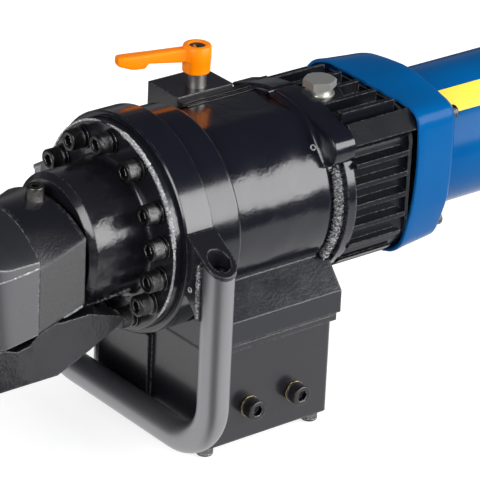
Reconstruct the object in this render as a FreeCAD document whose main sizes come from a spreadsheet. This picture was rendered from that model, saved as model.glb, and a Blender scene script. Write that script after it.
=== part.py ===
import FreeCAD, Part
import math
import os
import Sketcher

# Hydraulic rebar bender, in millimetres.
# Every sub-part is drawn about the tool axis: x runs to the rear from the front ring's face,
# y away from the side seen in the picture, z up. Its Placement then moves it to the part's own
# frame, whose origin is under the middle of the part, on the surface that it stands on.

SIZES = {
    # clearances and overruns shared by all pieces
    "fit_gap": 0.05,
    "thread_gap": 0.1,
    "slide_gap": 0.3,
    "overrun": 5.0,
    # front ring
    "ring_radius": 85.0,
    "ring_width": 25.6,
    "ring_bevel": 1.2,
    "ring_lip": 4.5,
    "ring_recess": 2.0,
    # main casting: sleeve under the ring, collar, cylinder, rear flange
    "sleeve_radius": 58.0,
    "collar_radius": 79.3,
    "collar_width": 29.1,
    "collar_round": 3.0,
    "body_radius": 70.0,
    "body_length": 165.0,
    "bore_radius": 42.0,
    "bore_end": 145.0,
    "rear_flange_radius": 77.0,
    "rear_flange_width": 8.0,
    "rear_flange_flare": 12.0,
    "rear_flange_top": 67.3,
    "ear_reach": 69.4,
    "ear_top": 48.0,
    "ear_root": 30.0,
    "ear_floor": 38.0,
    "ear_width": 20.0,
    "ear_round": 3.0,
    # skirt of the main casting over the tank
    "skirt_front": 30.0,
    "skirt_rear": 156.0,
    "skirt_half_width": 76.0,
    "skirt_bottom": 84.5,
    "skirt_side_height": 18.0,
    "shoulder_run": 21.3,
    "shoulder_rise": 25.5,
    "gallery_front_inset": 20.0,
    "gallery_side_inset": 10.0,
    "gallery_height": 16.0,
    # bending head
    "neck_reach": 60.0,
    "neck_radius": 51.5,
    "neck_bevel": 4.5,
    "neck_bore": 31.0,
    "flange_reach": 8.5,
    "flange_bevel": 1.0,
    "neck_fillet": 4.0,
    "cradle_front_margin": 26.0,
    "cradle_rear": 88.0,
    "cradle_hollow_front": 238.0,
    "cradle_hollow_rear": 150.0,
    "cradle_hollow_half": 42.0,
    "cradle_hollow_depth": 21.0,
    "cradle_half_width": 50.0,
    "cradle_top": 47.0,
    "cradle_bottom": 80.0,
    "cradle_side_margin": 22.0,
    "cradle_flare_start": 145.0,
    "cradle_flare_end": 196.0,
    "cradle_corner": 26.0,
    "lens_depth": 4.0,
    "lens_lip": 2.0,
    "lens_start": 113.0,
    "lens_middle": 124.0,
    "lens_end": 135.0,
    "gusset_toe": 60.0,
    "gusset_toe_drop": 67.5,
    "gusset_rear": 30.0,
    "gusset_rear_drop": 52.0,
    "gusset_rear_top": 48.0,
    "gusset_top_drop": 38.0,
    # ram block
    "ram_rear": 65.5,
    "ram_front": 106.0,
    "ram_half_width": 49.5,
    "ram_crest": 39.0,
    "ram_rear_side": 24.0,
    "ram_front_side": 9.0,
    "ram_rear_bottom": 28.0,
    "ram_front_bottom": 42.0,
    "ram_screw_place": 76.0,
    "ram_screw_seat": 37.5,
    "ram_screw_radius": 4.0,
    "ram_screw_head_radius": 6.8,
    "ram_screw_head_height": 12.0,
    "ram_screw_socket_radius": 3.6,
    "ram_screw_length": 9.0,
    # bending former
    "former_radius": 50.3,
    "former_hollow_radius": 34.0,
    "former_hollow_height": 42.0,
    "former_centre": 128.0,
    # rod and piston
    "rod_radius": 25.0,
    "rod_depth_in_block": 32.0,
    "rod_spigot_radius": 14.0,
    "piston_front": 112.0,
    "piston_width": 22.0,
    "rod_end_width": 6.0,
    "seal_width": 5.0,
    "seal_depth": 4.0,
    "seal_inset": 4.0,
    "spring_outer_radius": 38.0,
    "spring_wall": 6.0,
    "wiper_width": 8.0,
    # bending rollers
    "roller_place": 224.0,
    "roller_half_pitch": 96.0,
    "roller_radius": 20.0,
    "roller_height": 60.0,
    "roller_bevel": 2.0,
    "pin_radius": 12.0,
    "pin_head_radius": 17.0,
    "pin_head_height": 7.0,
    "pin_tail": 8.0,
    "clip_width": 2.0,
    "clip_radius": 16.0,
    "clip_groove": 1.2,
    "clip_mouth": 12.0,
    # cap screws of the flange and tank sides
    "screw_radius": 5.0,
    "screw_head_radius": 8.0,
    "screw_head_height": 10.0,
    "screw_socket_radius": 4.6,
    "screw_socket_depth": 5.0,
    "screw_circle": 68.0,
    "screw_clearance": 0.5,
    "flange_screw_length": 34.5,
    "spring_washer_width": 2.5,
    "spring_washer_radius": 8.2,
    "spring_washer_mouth": 1.2,
    "flat_washer_width": 2.0,
    "flat_washer_radius": 9.3,
    # carry handle and brackets
    "tube_radius": 12.0,
    "tube_wall": 2.5,
    "tube_half_pitch": 105.0,
    "tube_rise": 16.0,
    "bracket_outer_low": 40.0,
    "tube_bottom": 151.5,
    "tube_bend": 42.0,
    "bracket_top_inner": 21.0,
    "bracket_top_outer": 0.0,
    "bracket_margin": 13.0,
    "bracket_web_gap": 5.0,
    "bracket_cap_thickness": 3.0,
    "bracket_round": 12.4,
    "bracket_inner_low": 26.0,
    "bracket_overlap": 10.0,
    "spigot_drop": 28.0,
    "cap_recess_radius": 8.5,
    "cap_recess_floor": 5.0,
    "cap_screw_radius": 3.0,
    "cap_screw_head_radius": 6.2,
    "cap_screw_head_height": 4.0,
    "cap_screw_length": 20.0,
    "cap_socket_radius": 2.9,
    "cap_socket_depth": 2.5,
    # oil tank
    "gasket_thickness": 1.5,
    "rim_height": 5.0,
    "rim_rear_inset": 3.0,
    "rim_side_inset": 1.0,
    "tank_bottom": 168.0,
    "tank_half_width": 74.0,
    "tank_rear": 150.0,
    "tank_wall": 5.0,
    "tank_front_round": 11.0,
    "tank_rear_round": 4.0,
    "tank_pad_proud": 4.0,
    "tank_pad_near": 7.0,
    "tank_pad_far": 56.0,
    "tank_pad_top": 98.0,
    "tank_pad_bottom": 158.0,
    "side_screw_front": 72.0,
    "side_screw_pitch": 43.0,
    "side_screw_drop": 141.0,
    "side_screw_length": 8.0,
    "side_washer_thickness": 1.75,
    "side_washer_radius": 8.4,
    "foot_front": 40.0,
    "foot_rear": 141.0,
    "foot_half_pitch": 63.5,
    "foot_screw_radius": 4.0,
    "foot_head_radius": 6.5,
    "foot_head_height": 8.0,
    "foot_socket_radius": 3.4,
    "foot_socket_depth": 4.0,
    "foot_washer_thickness": 1.5,
    "foot_washer_radius": 7.5,
    "foot_thread_depth": 12.0,
    "suction_place": 118.0,
    "suction_side": 30.0,
    "suction_radius": 6.0,
    "suction_bore": 4.0,
    "suction_length": 78.0,
    "strainer_radius": 14.0,
    "strainer_height": 14.0,
    # clamp block, stop bar, lever
    "block_front": 76.5,
    "block_length": 52.0,
    "block_near": 32.0,
    "block_width": 37.6,
    "block_top": 71.0,
    "block_depth": 55.0,
    "stud_place": 102.5,
    "stud_side": 44.5,
    "stud_radius": 8.0,
    "stud_depth": 10.5,
    "stud_rise": 11.5,
    "stud_neck_radius": 5.0,
    "stud_neck_height": 12.0,
    "hub_radius": 11.2,
    "hub_height": 22.0,
    "hub_bevel": 1.5,
    "hub_recess_radius": 5.6,
    "hub_recess_depth": 6.0,
    "lever_reach": 62.0,
    "lever_swing": 19.0,
    "lever_width": 10.0,
    "lever_root_drop": 1.5,
    "lever_root_low": 13.4,
    "lever_waist": 40.7,
    "lever_waist_low": 10.4,
    "lever_foot_start": 42.0,
    "lever_foot_end": 51.5,
    "lever_foot_low": 14.0,
    "lever_tip_drop": 3.5,
    "lever_tip_low": 5.5,
    "lever_screw_radius": 3.0,
    "lever_screw_head_radius": 5.0,
    "lever_screw_head_height": 3.0,
    "bar_front": 76.0,
    "bar_length": 65.0,
    "bar_near": 19.2,
    "bar_width": 12.5,
    "bar_top": 68.5,
    "bar_height": 11.0,
    "bar_travel": 18.0,
    "bar_groove_inset": 3.0,
    "bar_groove_width": 3.0,
    "bar_groove_depth": 1.5,
    # pump housing
    "housing_length": 60.0,
    "core_half_width": 64.0,
    "core_half_height": 60.0,
    "core_round": 28.0,
    "fin_end": 51.0,
    "fin_thickness": 4.0,
    "shell_half_width": 75.0,
    "shell_half_height": 69.0,
    "shell_small_round": 12.0,
    "shell_large_round": 57.0,
    "side_fin_top": 33.0,
    "side_fin_pitch": 17.0,
    "top_fin_pitch": 20.8,
    "corner_rib_width": 18.0,
    "corner_rib_inner": 58.0,
    "corner_rib_outer": 87.0,
    "chamber_radius": 54.0,
    "chamber_length": 35.0,
    "bearing_radius": 20.0,
    "bearing_width": 14.0,
    "shaft_hole_radius": 12.0,
    "boss_place": 177.0,
    "boss_side": 12.0,
    "boss_radius": 18.0,
    "boss_top": 68.0,
    "boss_floor": 50.0,
    "plug_thread_radius": 8.0,
    "plug_thread_length": 14.0,
    "plug_collar_radius": 11.7,
    "plug_collar_height": 3.0,
    "plug_hex_radius": 14.4,
    "plug_hex_height": 6.5,
    "plug_washer_thickness": 1.0,
    # pump block and plungers
    "eccentric_radius": 13.0,
    "eccentric_throw": 3.0,
    "eccentric_start": 12.0,
    "eccentric_width": 18.0,
    "pump_bore_radius": 22.0,
    "plunger_radius": 5.0,
    "plunger_length": 30.0,
    # motor shaft and armature
    "shaft_radius": 8.0,
    "shaft_start": 10.0,
    "rotor_radius": 29.5,
    "rotor_start": 282.0,
    "rotor_length": 62.0,
    "rotor_slot_width": 4.0,
    "rotor_slot_depth": 8.0,
    "commutator_radius": 14.0,
    "commutator_start": 353.0,
    "commutator_length": 12.0,
    "fan_start": 234.0,
    "fan_width": 14.0,
    "fan_radius": 46.0,
    "fan_hub_radius": 14.0,
    "fan_plate": 2.0,
    "fan_blade": 2.5,
    "stator_outer_radius": 49.0,
    "stator_inner_radius": 30.5,
    # motor hood and barrel
    "baffle_thickness": 6.0,
    "baffle_inset": 3.0,
    "baffle_bore": 40.0,
    "hood_band": 5.0,
    "hood_rear": 269.0,
    "hood_wall": 3.5,
    "hood_rear_half_width": 65.5,
    "hood_rear_half_height": 68.0,
    "hood_rear_small_round": 24.0,
    "hood_rear_large_round": 50.0,
    "hood_screw_high_y": 58.0,
    "hood_screw_high_z": 47.0,
    "hood_screw_low_y": 48.5,
    "hood_screw_low_z": 46.5,
    "hood_lug_radius": 6.5,
    "hood_screw_radius": 2.5,
    "hood_screw_head_radius": 4.6,
    "hood_screw_head_height": 3.5,
    "hood_screw_bite": 8.0,
    "barrel_radius": 55.0,
    "barrel_front_radius": 51.0,
    "barrel_bulge": 9.0,
    "barrel_wall": 5.0,
    "barrel_rear": 370.0,
    "label_front": 286.0,
    "label_length": 50.0,
    "label_thickness": 0.4,
    "cap_length": 18.0,
    "cap_rear_radius": 46.0,
    "cap_bevel": 8.0,
    "rear_bearing_radius": 13.0,
    "rear_bearing_width": 10.0,
    "brush_place": 359.0,
    "brush_width": 8.0,
    "brush_length": 18.0,
    "brush_cap_radius": 8.0,
    "brush_cap_rise": 2.0,
    "brush_slot_width": 1.5,
    # rear handle
    "grip_half_width": 16.0,
    "grip_rear": 482.0,
    "grip_depth": 38.0,
    "grip_front_top": 46.0,
    "grip_front_bottom": 44.0,
    "grip_rear_top": 58.0,
    "grip_rear_bottom": 62.0,
    "grip_corner": 20.0,
    "grip_bar": 14.0,
    "grip_fillet": 6.0,
    "switch_length": 14.0,
    "switch_half_width": 10.0,
    "switch_height": 34.0,
    "switch_floor": 4.0,
    "switch_wall": 9.0,
    "trigger_proud": 11.0,
    "trigger_half_width": 7.0,
    "trigger_height": 28.0,
    "trigger_travel": 5.0,
    "trigger_bevel": 3.0,
    "lock_radius": 5.0,
    "lock_proud": 3.5,
    "lock_length": 9.0,
    "lock_drop": 10.0,
    "lock_travel": 3.0,
    "grip_screw_radius": 2.0,
    "grip_screw_head_radius": 4.0,
    "grip_screw_head_height": 3.0,
    "grip_screw_length": 18.0,
    "gland_radius": 8.0,
    "gland_bore": 4.0,
    "gland_length": 14.0,
    "gland_depth": 8.0,
}

# Angles about the tool axis, in degrees, from the seen side upwards.
FLANGE_SCREW_ANGLES = [90, -90, 60, 30, 8, -14, -36, -62, 120, 150, 172, -166, -144, -118]
CORNER_RIB_ANGLES = [40, 220, 136, 316]
PLUNGER_ANGLES = [90, 210, 330]
LABEL_START_ANGLE = 41
LABEL_SPAN_ANGLE = 22
FAN_BLADES = 9
ROTOR_SLOTS = 12
SIDE_FINS = 6
TOP_FINS = 6

DOC = FreeCAD.newDocument("RebarBender")
SHEET = DOC.addObject("Spreadsheet::Sheet", "Dims")
for row, (alias, number) in enumerate(SIZES.items(), 1):
    SHEET.set(f"A{row}", alias)
    SHEET.set(f"B{row}", str(number))
    SHEET.setAlias(f"B{row}", alias)
DOC.recompute()

NODES = []
TOUCH = 1e-3
VECTOR = FreeCAD.Vector
TURNS = {
    "x": FreeCAD.Rotation(VECTOR(0, 1, 0), 90),
    "y": FreeCAD.Rotation(VECTOR(1, 0, 0), -90),
    "z": FreeCAD.Rotation(),
}


class Size:
    """A length, as expression text for the sheet and as its present value."""

    def __init__(self, text, value):
        self.text = text
        self.value = value

    @staticmethod
    def of(other):
        """Take a size as it is and wrap a plain factor."""
        return other if isinstance(other, Size) else Size(repr(other), other)

    def __add__(self, other):
        other = Size.of(other)
        return Size(f"({self.text} + {other.text})", self.value + other.value)

    def __sub__(self, other):
        other = Size.of(other)
        return Size(f"({self.text} - {other.text})", self.value - other.value)

    def __mul__(self, other):
        other = Size.of(other)
        return Size(f"({self.text} * {other.text})", self.value * other.value)

    def __truediv__(self, other):
        other = Size.of(other)
        return Size(f"({self.text} / {other.text})", self.value / other.value)

    def __radd__(self, other):
        return Size.of(other) + self

    def __rmul__(self, other):
        return Size.of(other) * self

    def __neg__(self):
        return Size(f"(0 - {self.text})", -self.value)

    def root(self):
        """The square root of an area."""
        return Size(f"sqrt({self.text})", math.sqrt(self.value))


class Dims:
    """Gives each named size of the sheet as a Size."""

    def __getattr__(self, name):
        return Size(f"Dims.{name}", float(SHEET.get(name)))


dims = Dims()


def leg(long_side, short_side):
    """Third side of a right triangle, from its longest side and one other."""
    return (long_side * long_side - short_side * short_side).root()


def bow_radius(half_chord, rise):
    """Radius of the arc that rises by this much over a chord."""
    return (half_chord * half_chord + rise * rise) / (2 * rise)


def bind(item, path, size):
    """Tie one property of an object to a size, or leave it at zero."""
    if isinstance(size, Size):
        item.setExpression(path, size.text)


def place(item, at):
    """Tie an object's position to three sizes."""
    for letter, size in zip("xyz", at):
        bind(item, f".Placement.Base.{letter}", size)


def rod(radius, length, at, axis="x"):
    """Cylinder from a start point along an axis."""
    item = DOC.addObject("Part::Cylinder", "Rod")
    bind(item, "Radius", radius)
    bind(item, "Height", length)
    item.Placement = FreeCAD.Placement(VECTOR(), TURNS[axis])
    place(item, at)
    return item


def hexagon(radius, length, at, axis="x"):
    """Six-sided prism, with this radius to its corners, along an axis."""
    item = DOC.addObject("Part::Prism", "Hexagon")
    item.Polygon = 6
    bind(item, "Circumradius", radius)
    bind(item, "Height", length)
    item.Placement = FreeCAD.Placement(VECTOR(), TURNS[axis])
    place(item, at)
    return item


def box(low, high):
    """Box between two corners."""
    item = DOC.addObject("Part::Box", "Block")
    for name, start, end in zip(("Length", "Width", "Height"), low, high):
        bind(item, name, Size.of(end) - start)
    place(item, low)
    return item


def fuse(*items):
    """One solid out of several."""
    item = DOC.addObject("Part::MultiFuse", "Fuse")
    item.Shapes = list(items)
    item.Refine = True
    return item


def cut(base, *tools):
    """A solid with others taken away."""
    item = DOC.addObject("Part::Cut", "Cut")
    item.Base = base
    item.Tool = tools[0] if len(tools) == 1 else group(*tools)
    return item


def common(first, second):
    """What two solids share."""
    item = DOC.addObject("Part::Common", "Common")
    item.Base = first
    item.Tool = second
    return item


def group(*items):
    """Separate solids in one object."""
    item = DOC.addObject("Part::Compound", "Group")
    item.Links = list(items)
    return item


def ring(outer, inner, width, at, axis="x"):
    """Flat ring or short tube along an axis."""
    return cut(rod(outer, width, at, axis), rod(inner, width, at, axis))


def turned(item, angle, axis=VECTOR(1, 0, 0)):
    """Copy of a shape turned about a line through the origin, by default the tool axis."""
    holder = DOC.addObject("Part::Compound", "Turned")
    holder.Links = [item]
    holder.Placement = FreeCAD.Placement(VECTOR(), FreeCAD.Rotation(axis, angle))
    return holder


class Body:
    """A PartDesign body whose sketches and features follow the sheet."""

    def __init__(self, name):
        self.body = DOC.addObject("PartDesign::Body", name)

    def sketch(self, role, loops, at=(0, 0, 0), closed=True):
        """Sketch of outlines on one of the body's own planes, moved by a local offset."""
        sketch = self.body.newObject("Sketcher::SketchObject", "Sketch")
        plane = [item for item in self.body.Origin.OriginFeatures if item.Role == role][0]
        sketch.AttachmentSupport = [(plane, "")]
        sketch.MapMode = "FlatFace"
        for letter, size in zip("xyz", at):
            bind(sketch, f".AttachmentOffset.Base.{letter}", size)
        for loop in loops:
            if isinstance(loop, tuple):
                self.circle(sketch, *loop)
            else:
                self.outline(sketch, loop, closed)
        return sketch

    @staticmethod
    def fix(sketch, part, end, across, up):
        """Hold one point of a sketch at two sizes from the sketch's origin."""
        for kind, axis, size in (("DistanceX", -2, across), ("DistanceY", -1, up)):
            if isinstance(size, Size):
                rule = Sketcher.Constraint(kind, -1, 1, part, end, size.value)
                bind(sketch, f"Constraints[{sketch.addConstraint(rule)}]", size)
            else:
                sketch.addConstraint(Sketcher.Constraint("PointOnObject", part, end, axis))

    @staticmethod
    def circle(sketch, across, up, radius):
        """Draw a circle from its centre and radius."""
        centre = VECTOR(Size.of(across).value, Size.of(up).value, 0)
        part = sketch.addGeometry(Part.Circle(centre, VECTOR(0, 0, 1), radius.value), False)
        Body.fix(sketch, part, 3, across, up)
        rule = Sketcher.Constraint("Radius", part, radius.value)
        bind(sketch, f"Constraints[{sketch.addConstraint(rule)}]", radius)

    @staticmethod
    def outline(sketch, points, closed):
        """Draw lines, and arcs where a point names a radius (plus: anticlockwise)."""
        spots = [VECTOR(Size.of(point[0]).value, Size.of(point[1]).value, 0) for point in points]
        sides = []
        count = len(points)
        for index in range(0 if closed else 1, count):
            start, end = spots[index - 1], spots[index]
            radius = points[index][2] if len(points[index]) > 2 else None
            if radius is None:
                part = sketch.addGeometry(Part.LineSegment(start, end), False)
                sides.append((part, 1, 2))
                continue
            reach = radius.value
            chord = end - start
            left = VECTOR(-chord.y, chord.x, 0).normalize()
            height = math.sqrt(max(reach * reach - chord.Length ** 2 / 4, 0))
            centre = (start + end) / 2 + left * math.copysign(height, reach)
            first, last = (start, end) if reach > 0 else (end, start)
            angles = [math.atan2(spot.y - centre.y, spot.x - centre.x) for spot in (first, last)]
            if angles[1] < angles[0]:
                angles[1] += 2 * math.pi
            curve = Part.ArcOfCircle(Part.Circle(centre, VECTOR(0, 0, 1), abs(reach)), *angles)
            part = sketch.addGeometry(curve, False)
            sides.append((part, 1, 2) if reach > 0 else (part, 2, 1))
            rule = Sketcher.Constraint("Radius", part, abs(reach))
            bind(sketch, f"Constraints[{sketch.addConstraint(rule)}]", radius if reach > 0 else -radius)
        for (one, _, finish), (other, begin, _) in zip(sides, sides[1:] + (sides[:1] if closed else [])):
            sketch.addConstraint(Sketcher.Constraint("Coincident", one, finish, other, begin))
        if not closed:
            Body.fix(sketch, sides[0][0], sides[0][1], *points[0][:2])
        for (part, _, finish), point in zip(sides, points if closed else points[1:]):
            Body.fix(sketch, part, finish, *point[:2])

    def pad(self, role, loops, low, high, kind="Pad"):
        """Solid between two places along the plane's normal, or a pocket there."""
        sign = -1 if role == "XZ_Plane" else 1
        far_end = (kind == "Pocket") != (sign < 0)
        start = high if far_end else low
        offset = start if sign > 0 else -Size.of(start)
        sketch = self.sketch(role, loops, (0, 0, offset))
        item = self.body.newObject(f"PartDesign::{kind}", kind)
        item.Profile = sketch
        bind(item, "Length", Size.of(high) - low)
        return item

    def pocket(self, role, loops, low, high):
        """Cut between two places along the plane's normal."""
        return self.pad(role, loops, low, high, "Pocket")

    def turn(self, loops, axis="x", centre=(0, 0, 0), kind="Revolution"):
        """Solid of revolution about an axis through a centre point, or a groove."""
        role, line, order = {
            "x": ("XZ_Plane", "H_Axis", (0, 2, 1)),
            "z": ("XZ_Plane", "V_Axis", (0, 2, 1)),
            "y": ("XY_Plane", "V_Axis", (0, 1, 2)),
        }[axis]
        at = [centre[index] for index in order]
        if role == "XZ_Plane" and isinstance(at[2], Size):
            at[2] = -at[2]
        sketch = self.sketch(role, loops, at)
        item = self.body.newObject(f"PartDesign::{kind}", kind)
        item.Profile = sketch
        item.ReferenceAxis = (sketch, [line])
        item.Angle = 360
        return item

    def groove(self, loops, axis="x", centre=(0, 0, 0)):
        """Cut of revolution."""
        return self.turn(loops, axis, centre, "Groove")

    def edges(self, pick):
        """Names of the present shape's edges that a test picks."""
        DOC.recompute()
        found = enumerate(self.body.Tip.Shape.Edges, 1)
        return [f"Edge{index}" for index, edge in found if pick(edge)]

    def round(self, radius, pick, kind="Fillet"):
        """Fillet or chamfer the picked edges."""
        names = self.edges(pick)
        base = self.body.Tip
        item = self.body.newObject(f"PartDesign::{kind}", kind)
        item.Base = (base, names)
        bind(item, "Radius" if kind == "Fillet" else "Size", radius)
        return item

    def loft(self, sections, kind="AdditiveLoft"):
        """Straight-sided solid through several sketches, or a cut."""
        item = self.body.newObject(f"PartDesign::{kind}", kind)
        item.Profile = sections[0]
        item.Sections = [(section, [""]) for section in sections[1:]]
        item.Ruled = True
        return item


def rectangle(left, right, low, high):
    """Four corners of a rectangle, anticlockwise."""
    return [(left, low), (right, low), (right, high), (left, high)]


def mirrored(half):
    """Closed outline from its right half, listed from the bottom to the top."""
    back = []
    for index in range(len(half) - 1, -1, -1):
        across, up = half[index][:2]
        arc = half[index + 1][2:] if index + 1 < len(half) else ()
        back.append((-across, up, *arc))
    return list(half) + back


def max_size(first, second):
    """The larger of two sizes."""
    return first if Size.of(first).value >= Size.of(second).value else second


def min_size(first, second):
    """The smaller of two sizes."""
    return first if Size.of(first).value <= Size.of(second).value else second


def along(edge, letter):
    """Length of an edge's box along one axis."""
    return getattr(edge.BoundBox, f"{letter.upper()}Length")


def is_at(edge, letter, size):
    """Whether an edge lies flat at one place along an axis."""
    low = getattr(edge.BoundBox, f"{letter.upper()}Min")
    near = abs(low - Size.of(size).value) < TOUCH
    return near and along(edge, letter) < TOUCH


def node(label, item):
    """Name a sub-part and move it to the part's own frame."""
    thing = item.body if isinstance(item, Body) else item
    thing.Label = label
    place(thing, (ORIGIN_SHIFT, 0, LIFT))
    NODES.append(thing)
    return thing


def spoke(radius, angle):
    """Place on a circle about the tool axis, as y and z."""
    return (-radius * math.cos(math.radians(angle)), radius * math.sin(math.radians(angle)))


LIFT = dims.tank_bottom + dims.foot_washer_thickness + dims.foot_head_height
CRADLE_REACH = dims.roller_place + dims.cradle_front_margin
ORIGIN_SHIFT = (CRADLE_REACH - dims.grip_rear) / 2

# Places that several pieces share.
REAR_FACE = dims.body_length
HOUSING_REAR = REAR_FACE + dims.housing_length
CRADLE_TOP = -dims.cradle_top
CRADLE_WIDE_HALF = dims.roller_half_pitch + dims.cradle_side_margin
ROLLER_X = -dims.roller_place
BRACKET_REACH = dims.tube_half_pitch + dims.bracket_margin
BRACKET_FALL = dims.bracket_top_inner - dims.bracket_top_outer
BRACKET_SLOPE = BRACKET_FALL / (BRACKET_REACH - dims.ring_radius)
PISTON_REAR = dims.piston_front + dims.piston_width
FLANGE_FRONT = -dims.flange_reach
HEAD_SEAT = FLANGE_FRONT - dims.flat_washer_width - dims.spring_washer_width
RIM_TOP = -(dims.skirt_bottom + dims.gasket_thickness)
TANK_FLOOR = -dims.tank_bottom
BAR_TOP = dims.bar_top
HUB_FLOOR = dims.block_top + dims.stud_rise
HUB_TOP = HUB_FLOOR + dims.hub_height
CAP_REAR = dims.barrel_rear + dims.cap_length
GRIP_FRONT = dims.grip_rear - dims.grip_depth
TUBE_CENTRE = dims.ring_width / 2
SIDE_SEAT = dims.tank_half_width + dims.side_washer_thickness
HOOD_SCREWS = [
    (-dims.hood_screw_high_y, dims.hood_screw_high_z),
    (-dims.hood_screw_low_y, -dims.hood_screw_low_z),
    (dims.hood_screw_high_y, -dims.hood_screw_high_z),
    (dims.hood_screw_low_y, dims.hood_screw_low_z),
]


def cap_screw(seat, axis, toward, length, radius, head_radius, head_height, socket_radius, socket_depth):
    """Socket cap screw; its head stands on the seat on the side opposite to its shank."""
    index = "xyz".index(axis)

    def shifted(distance):
        spot = list(seat)
        spot[index] = spot[index] + distance
        return spot

    if toward > 0:
        head = rod(head_radius, head_height, shifted(-head_height), axis)
        shank = rod(radius, length, seat, axis)
        socket = hexagon(socket_radius, socket_depth, shifted(-head_height), axis)
    else:
        head = rod(head_radius, head_height, seat, axis)
        shank = rod(radius, length, shifted(-length), axis)
        socket = hexagon(socket_radius, socket_depth, shifted(head_height - socket_depth), axis)
    return cut(fuse(head, shank), socket)


def make_front_ring():
    """Heavy ring round the front of the casting, with a raised lip and threaded holes."""
    lip_inner = dims.ring_radius - dims.ring_lip
    bevelled = dims.ring_radius - dims.ring_bevel
    bore = dims.sleeve_radius + dims.fit_gap
    body = Body("FrontRing")
    body.turn([[
        (0, lip_inner), (0, bevelled), (dims.ring_bevel, dims.ring_radius),
        (dims.ring_width - dims.ring_bevel, dims.ring_radius), (dims.ring_width, bevelled),
        (dims.ring_width, bore), (dims.ring_recess, bore), (dims.ring_recess, lip_inner),
    ]])
    hole = dims.screw_radius + dims.thread_gap
    holes = [(*spoke(dims.screw_circle, angle), hole) for angle in FLANGE_SCREW_ANGLES]
    body.pocket("YZ_Plane", holes, dims.ring_recess - dims.overrun, dims.ring_width)
    node("front_ring", body)


def gallery_outline():
    """Opening between the tank and the hollow of the skirt above it."""
    side = dims.skirt_half_width - dims.gallery_side_inset
    return rectangle(dims.skirt_front + dims.gallery_front_inset, dims.foot_rear - dims.gallery_side_inset,
                     -side, side)


def make_main_casting():
    """Cylinder casting with its collar, rear flange, ears and the skirt over the tank."""
    collar_end = dims.ring_width + dims.collar_width
    flange_front = REAR_FACE - dims.rear_flange_width
    flare_start = flange_front - dims.rear_flange_flare
    flare_rise = dims.rear_flange_radius - dims.body_radius
    collar_low = dims.collar_radius - dims.collar_round
    body = Body("MainCasting")
    body.turn([[
        (dims.ring_recess, 0), (dims.ring_recess, dims.sleeve_radius),
        (dims.ring_width, dims.sleeve_radius), (dims.ring_width, dims.collar_radius),
        (collar_end - dims.collar_round, dims.collar_radius),
        (collar_end, collar_low, -dims.collar_round), (collar_end, dims.body_radius),
        (flare_start, dims.body_radius),
        (flange_front, dims.rear_flange_radius, bow_radius(flare_rise, dims.rear_flange_flare)),
        (REAR_FACE, dims.rear_flange_radius), (REAR_FACE, 0),
    ]])
    skirt_side = dims.skirt_bottom - dims.skirt_side_height
    body.pad("YZ_Plane", [mirrored([
        (dims.skirt_half_width, -dims.skirt_bottom), (dims.skirt_half_width, -skirt_side),
        (dims.skirt_half_width - dims.shoulder_run, dims.shoulder_rise - skirt_side),
    ])], dims.skirt_front, dims.skirt_rear)
    body.pad("YZ_Plane", [[
        (-dims.ear_root, dims.ear_floor), (-dims.ear_root, dims.rear_flange_top),
        (-dims.ear_reach, dims.ear_top), (-dims.ear_reach, dims.ear_floor),
    ]], REAR_FACE - dims.ear_width, REAR_FACE)
    body.round(dims.ear_round,
               lambda edge: is_at(edge, "y", -dims.ear_reach) and is_at(edge, "z", dims.ear_top))
    above = dims.rear_flange_radius + dims.overrun
    body.pocket("YZ_Plane", [rectangle(-above, above, dims.rear_flange_top, above)],
                collar_end + dims.overrun, REAR_FACE)
    body.pocket("YZ_Plane", [(0, 0, dims.bore_radius)], dims.ring_recess, dims.bore_end)
    gallery_top = dims.gallery_height - dims.skirt_bottom
    body.pocket("XY_Plane", [gallery_outline()], -dims.skirt_bottom, gallery_top)
    thread = dims.foot_screw_radius + dims.thread_gap
    feet = [(along_x, side * dims.foot_half_pitch, thread)
            for along_x in (dims.foot_front, dims.foot_rear) for side in (-1, 1)]
    body.pocket("XY_Plane", feet, -dims.skirt_bottom, dims.foot_thread_depth - dims.skirt_bottom)
    slot_front = dims.bar_front - dims.bar_travel - dims.slide_gap
    slot_rear = dims.bar_front + dims.bar_length + dims.slide_gap
    body.pocket("XY_Plane", [rectangle(
        slot_front, slot_rear, dims.bar_near - dims.slide_gap,
        dims.bar_near + dims.bar_width + dims.slide_gap,
    )], BAR_TOP - dims.bar_height, above)
    node("main_casting", body)


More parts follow.
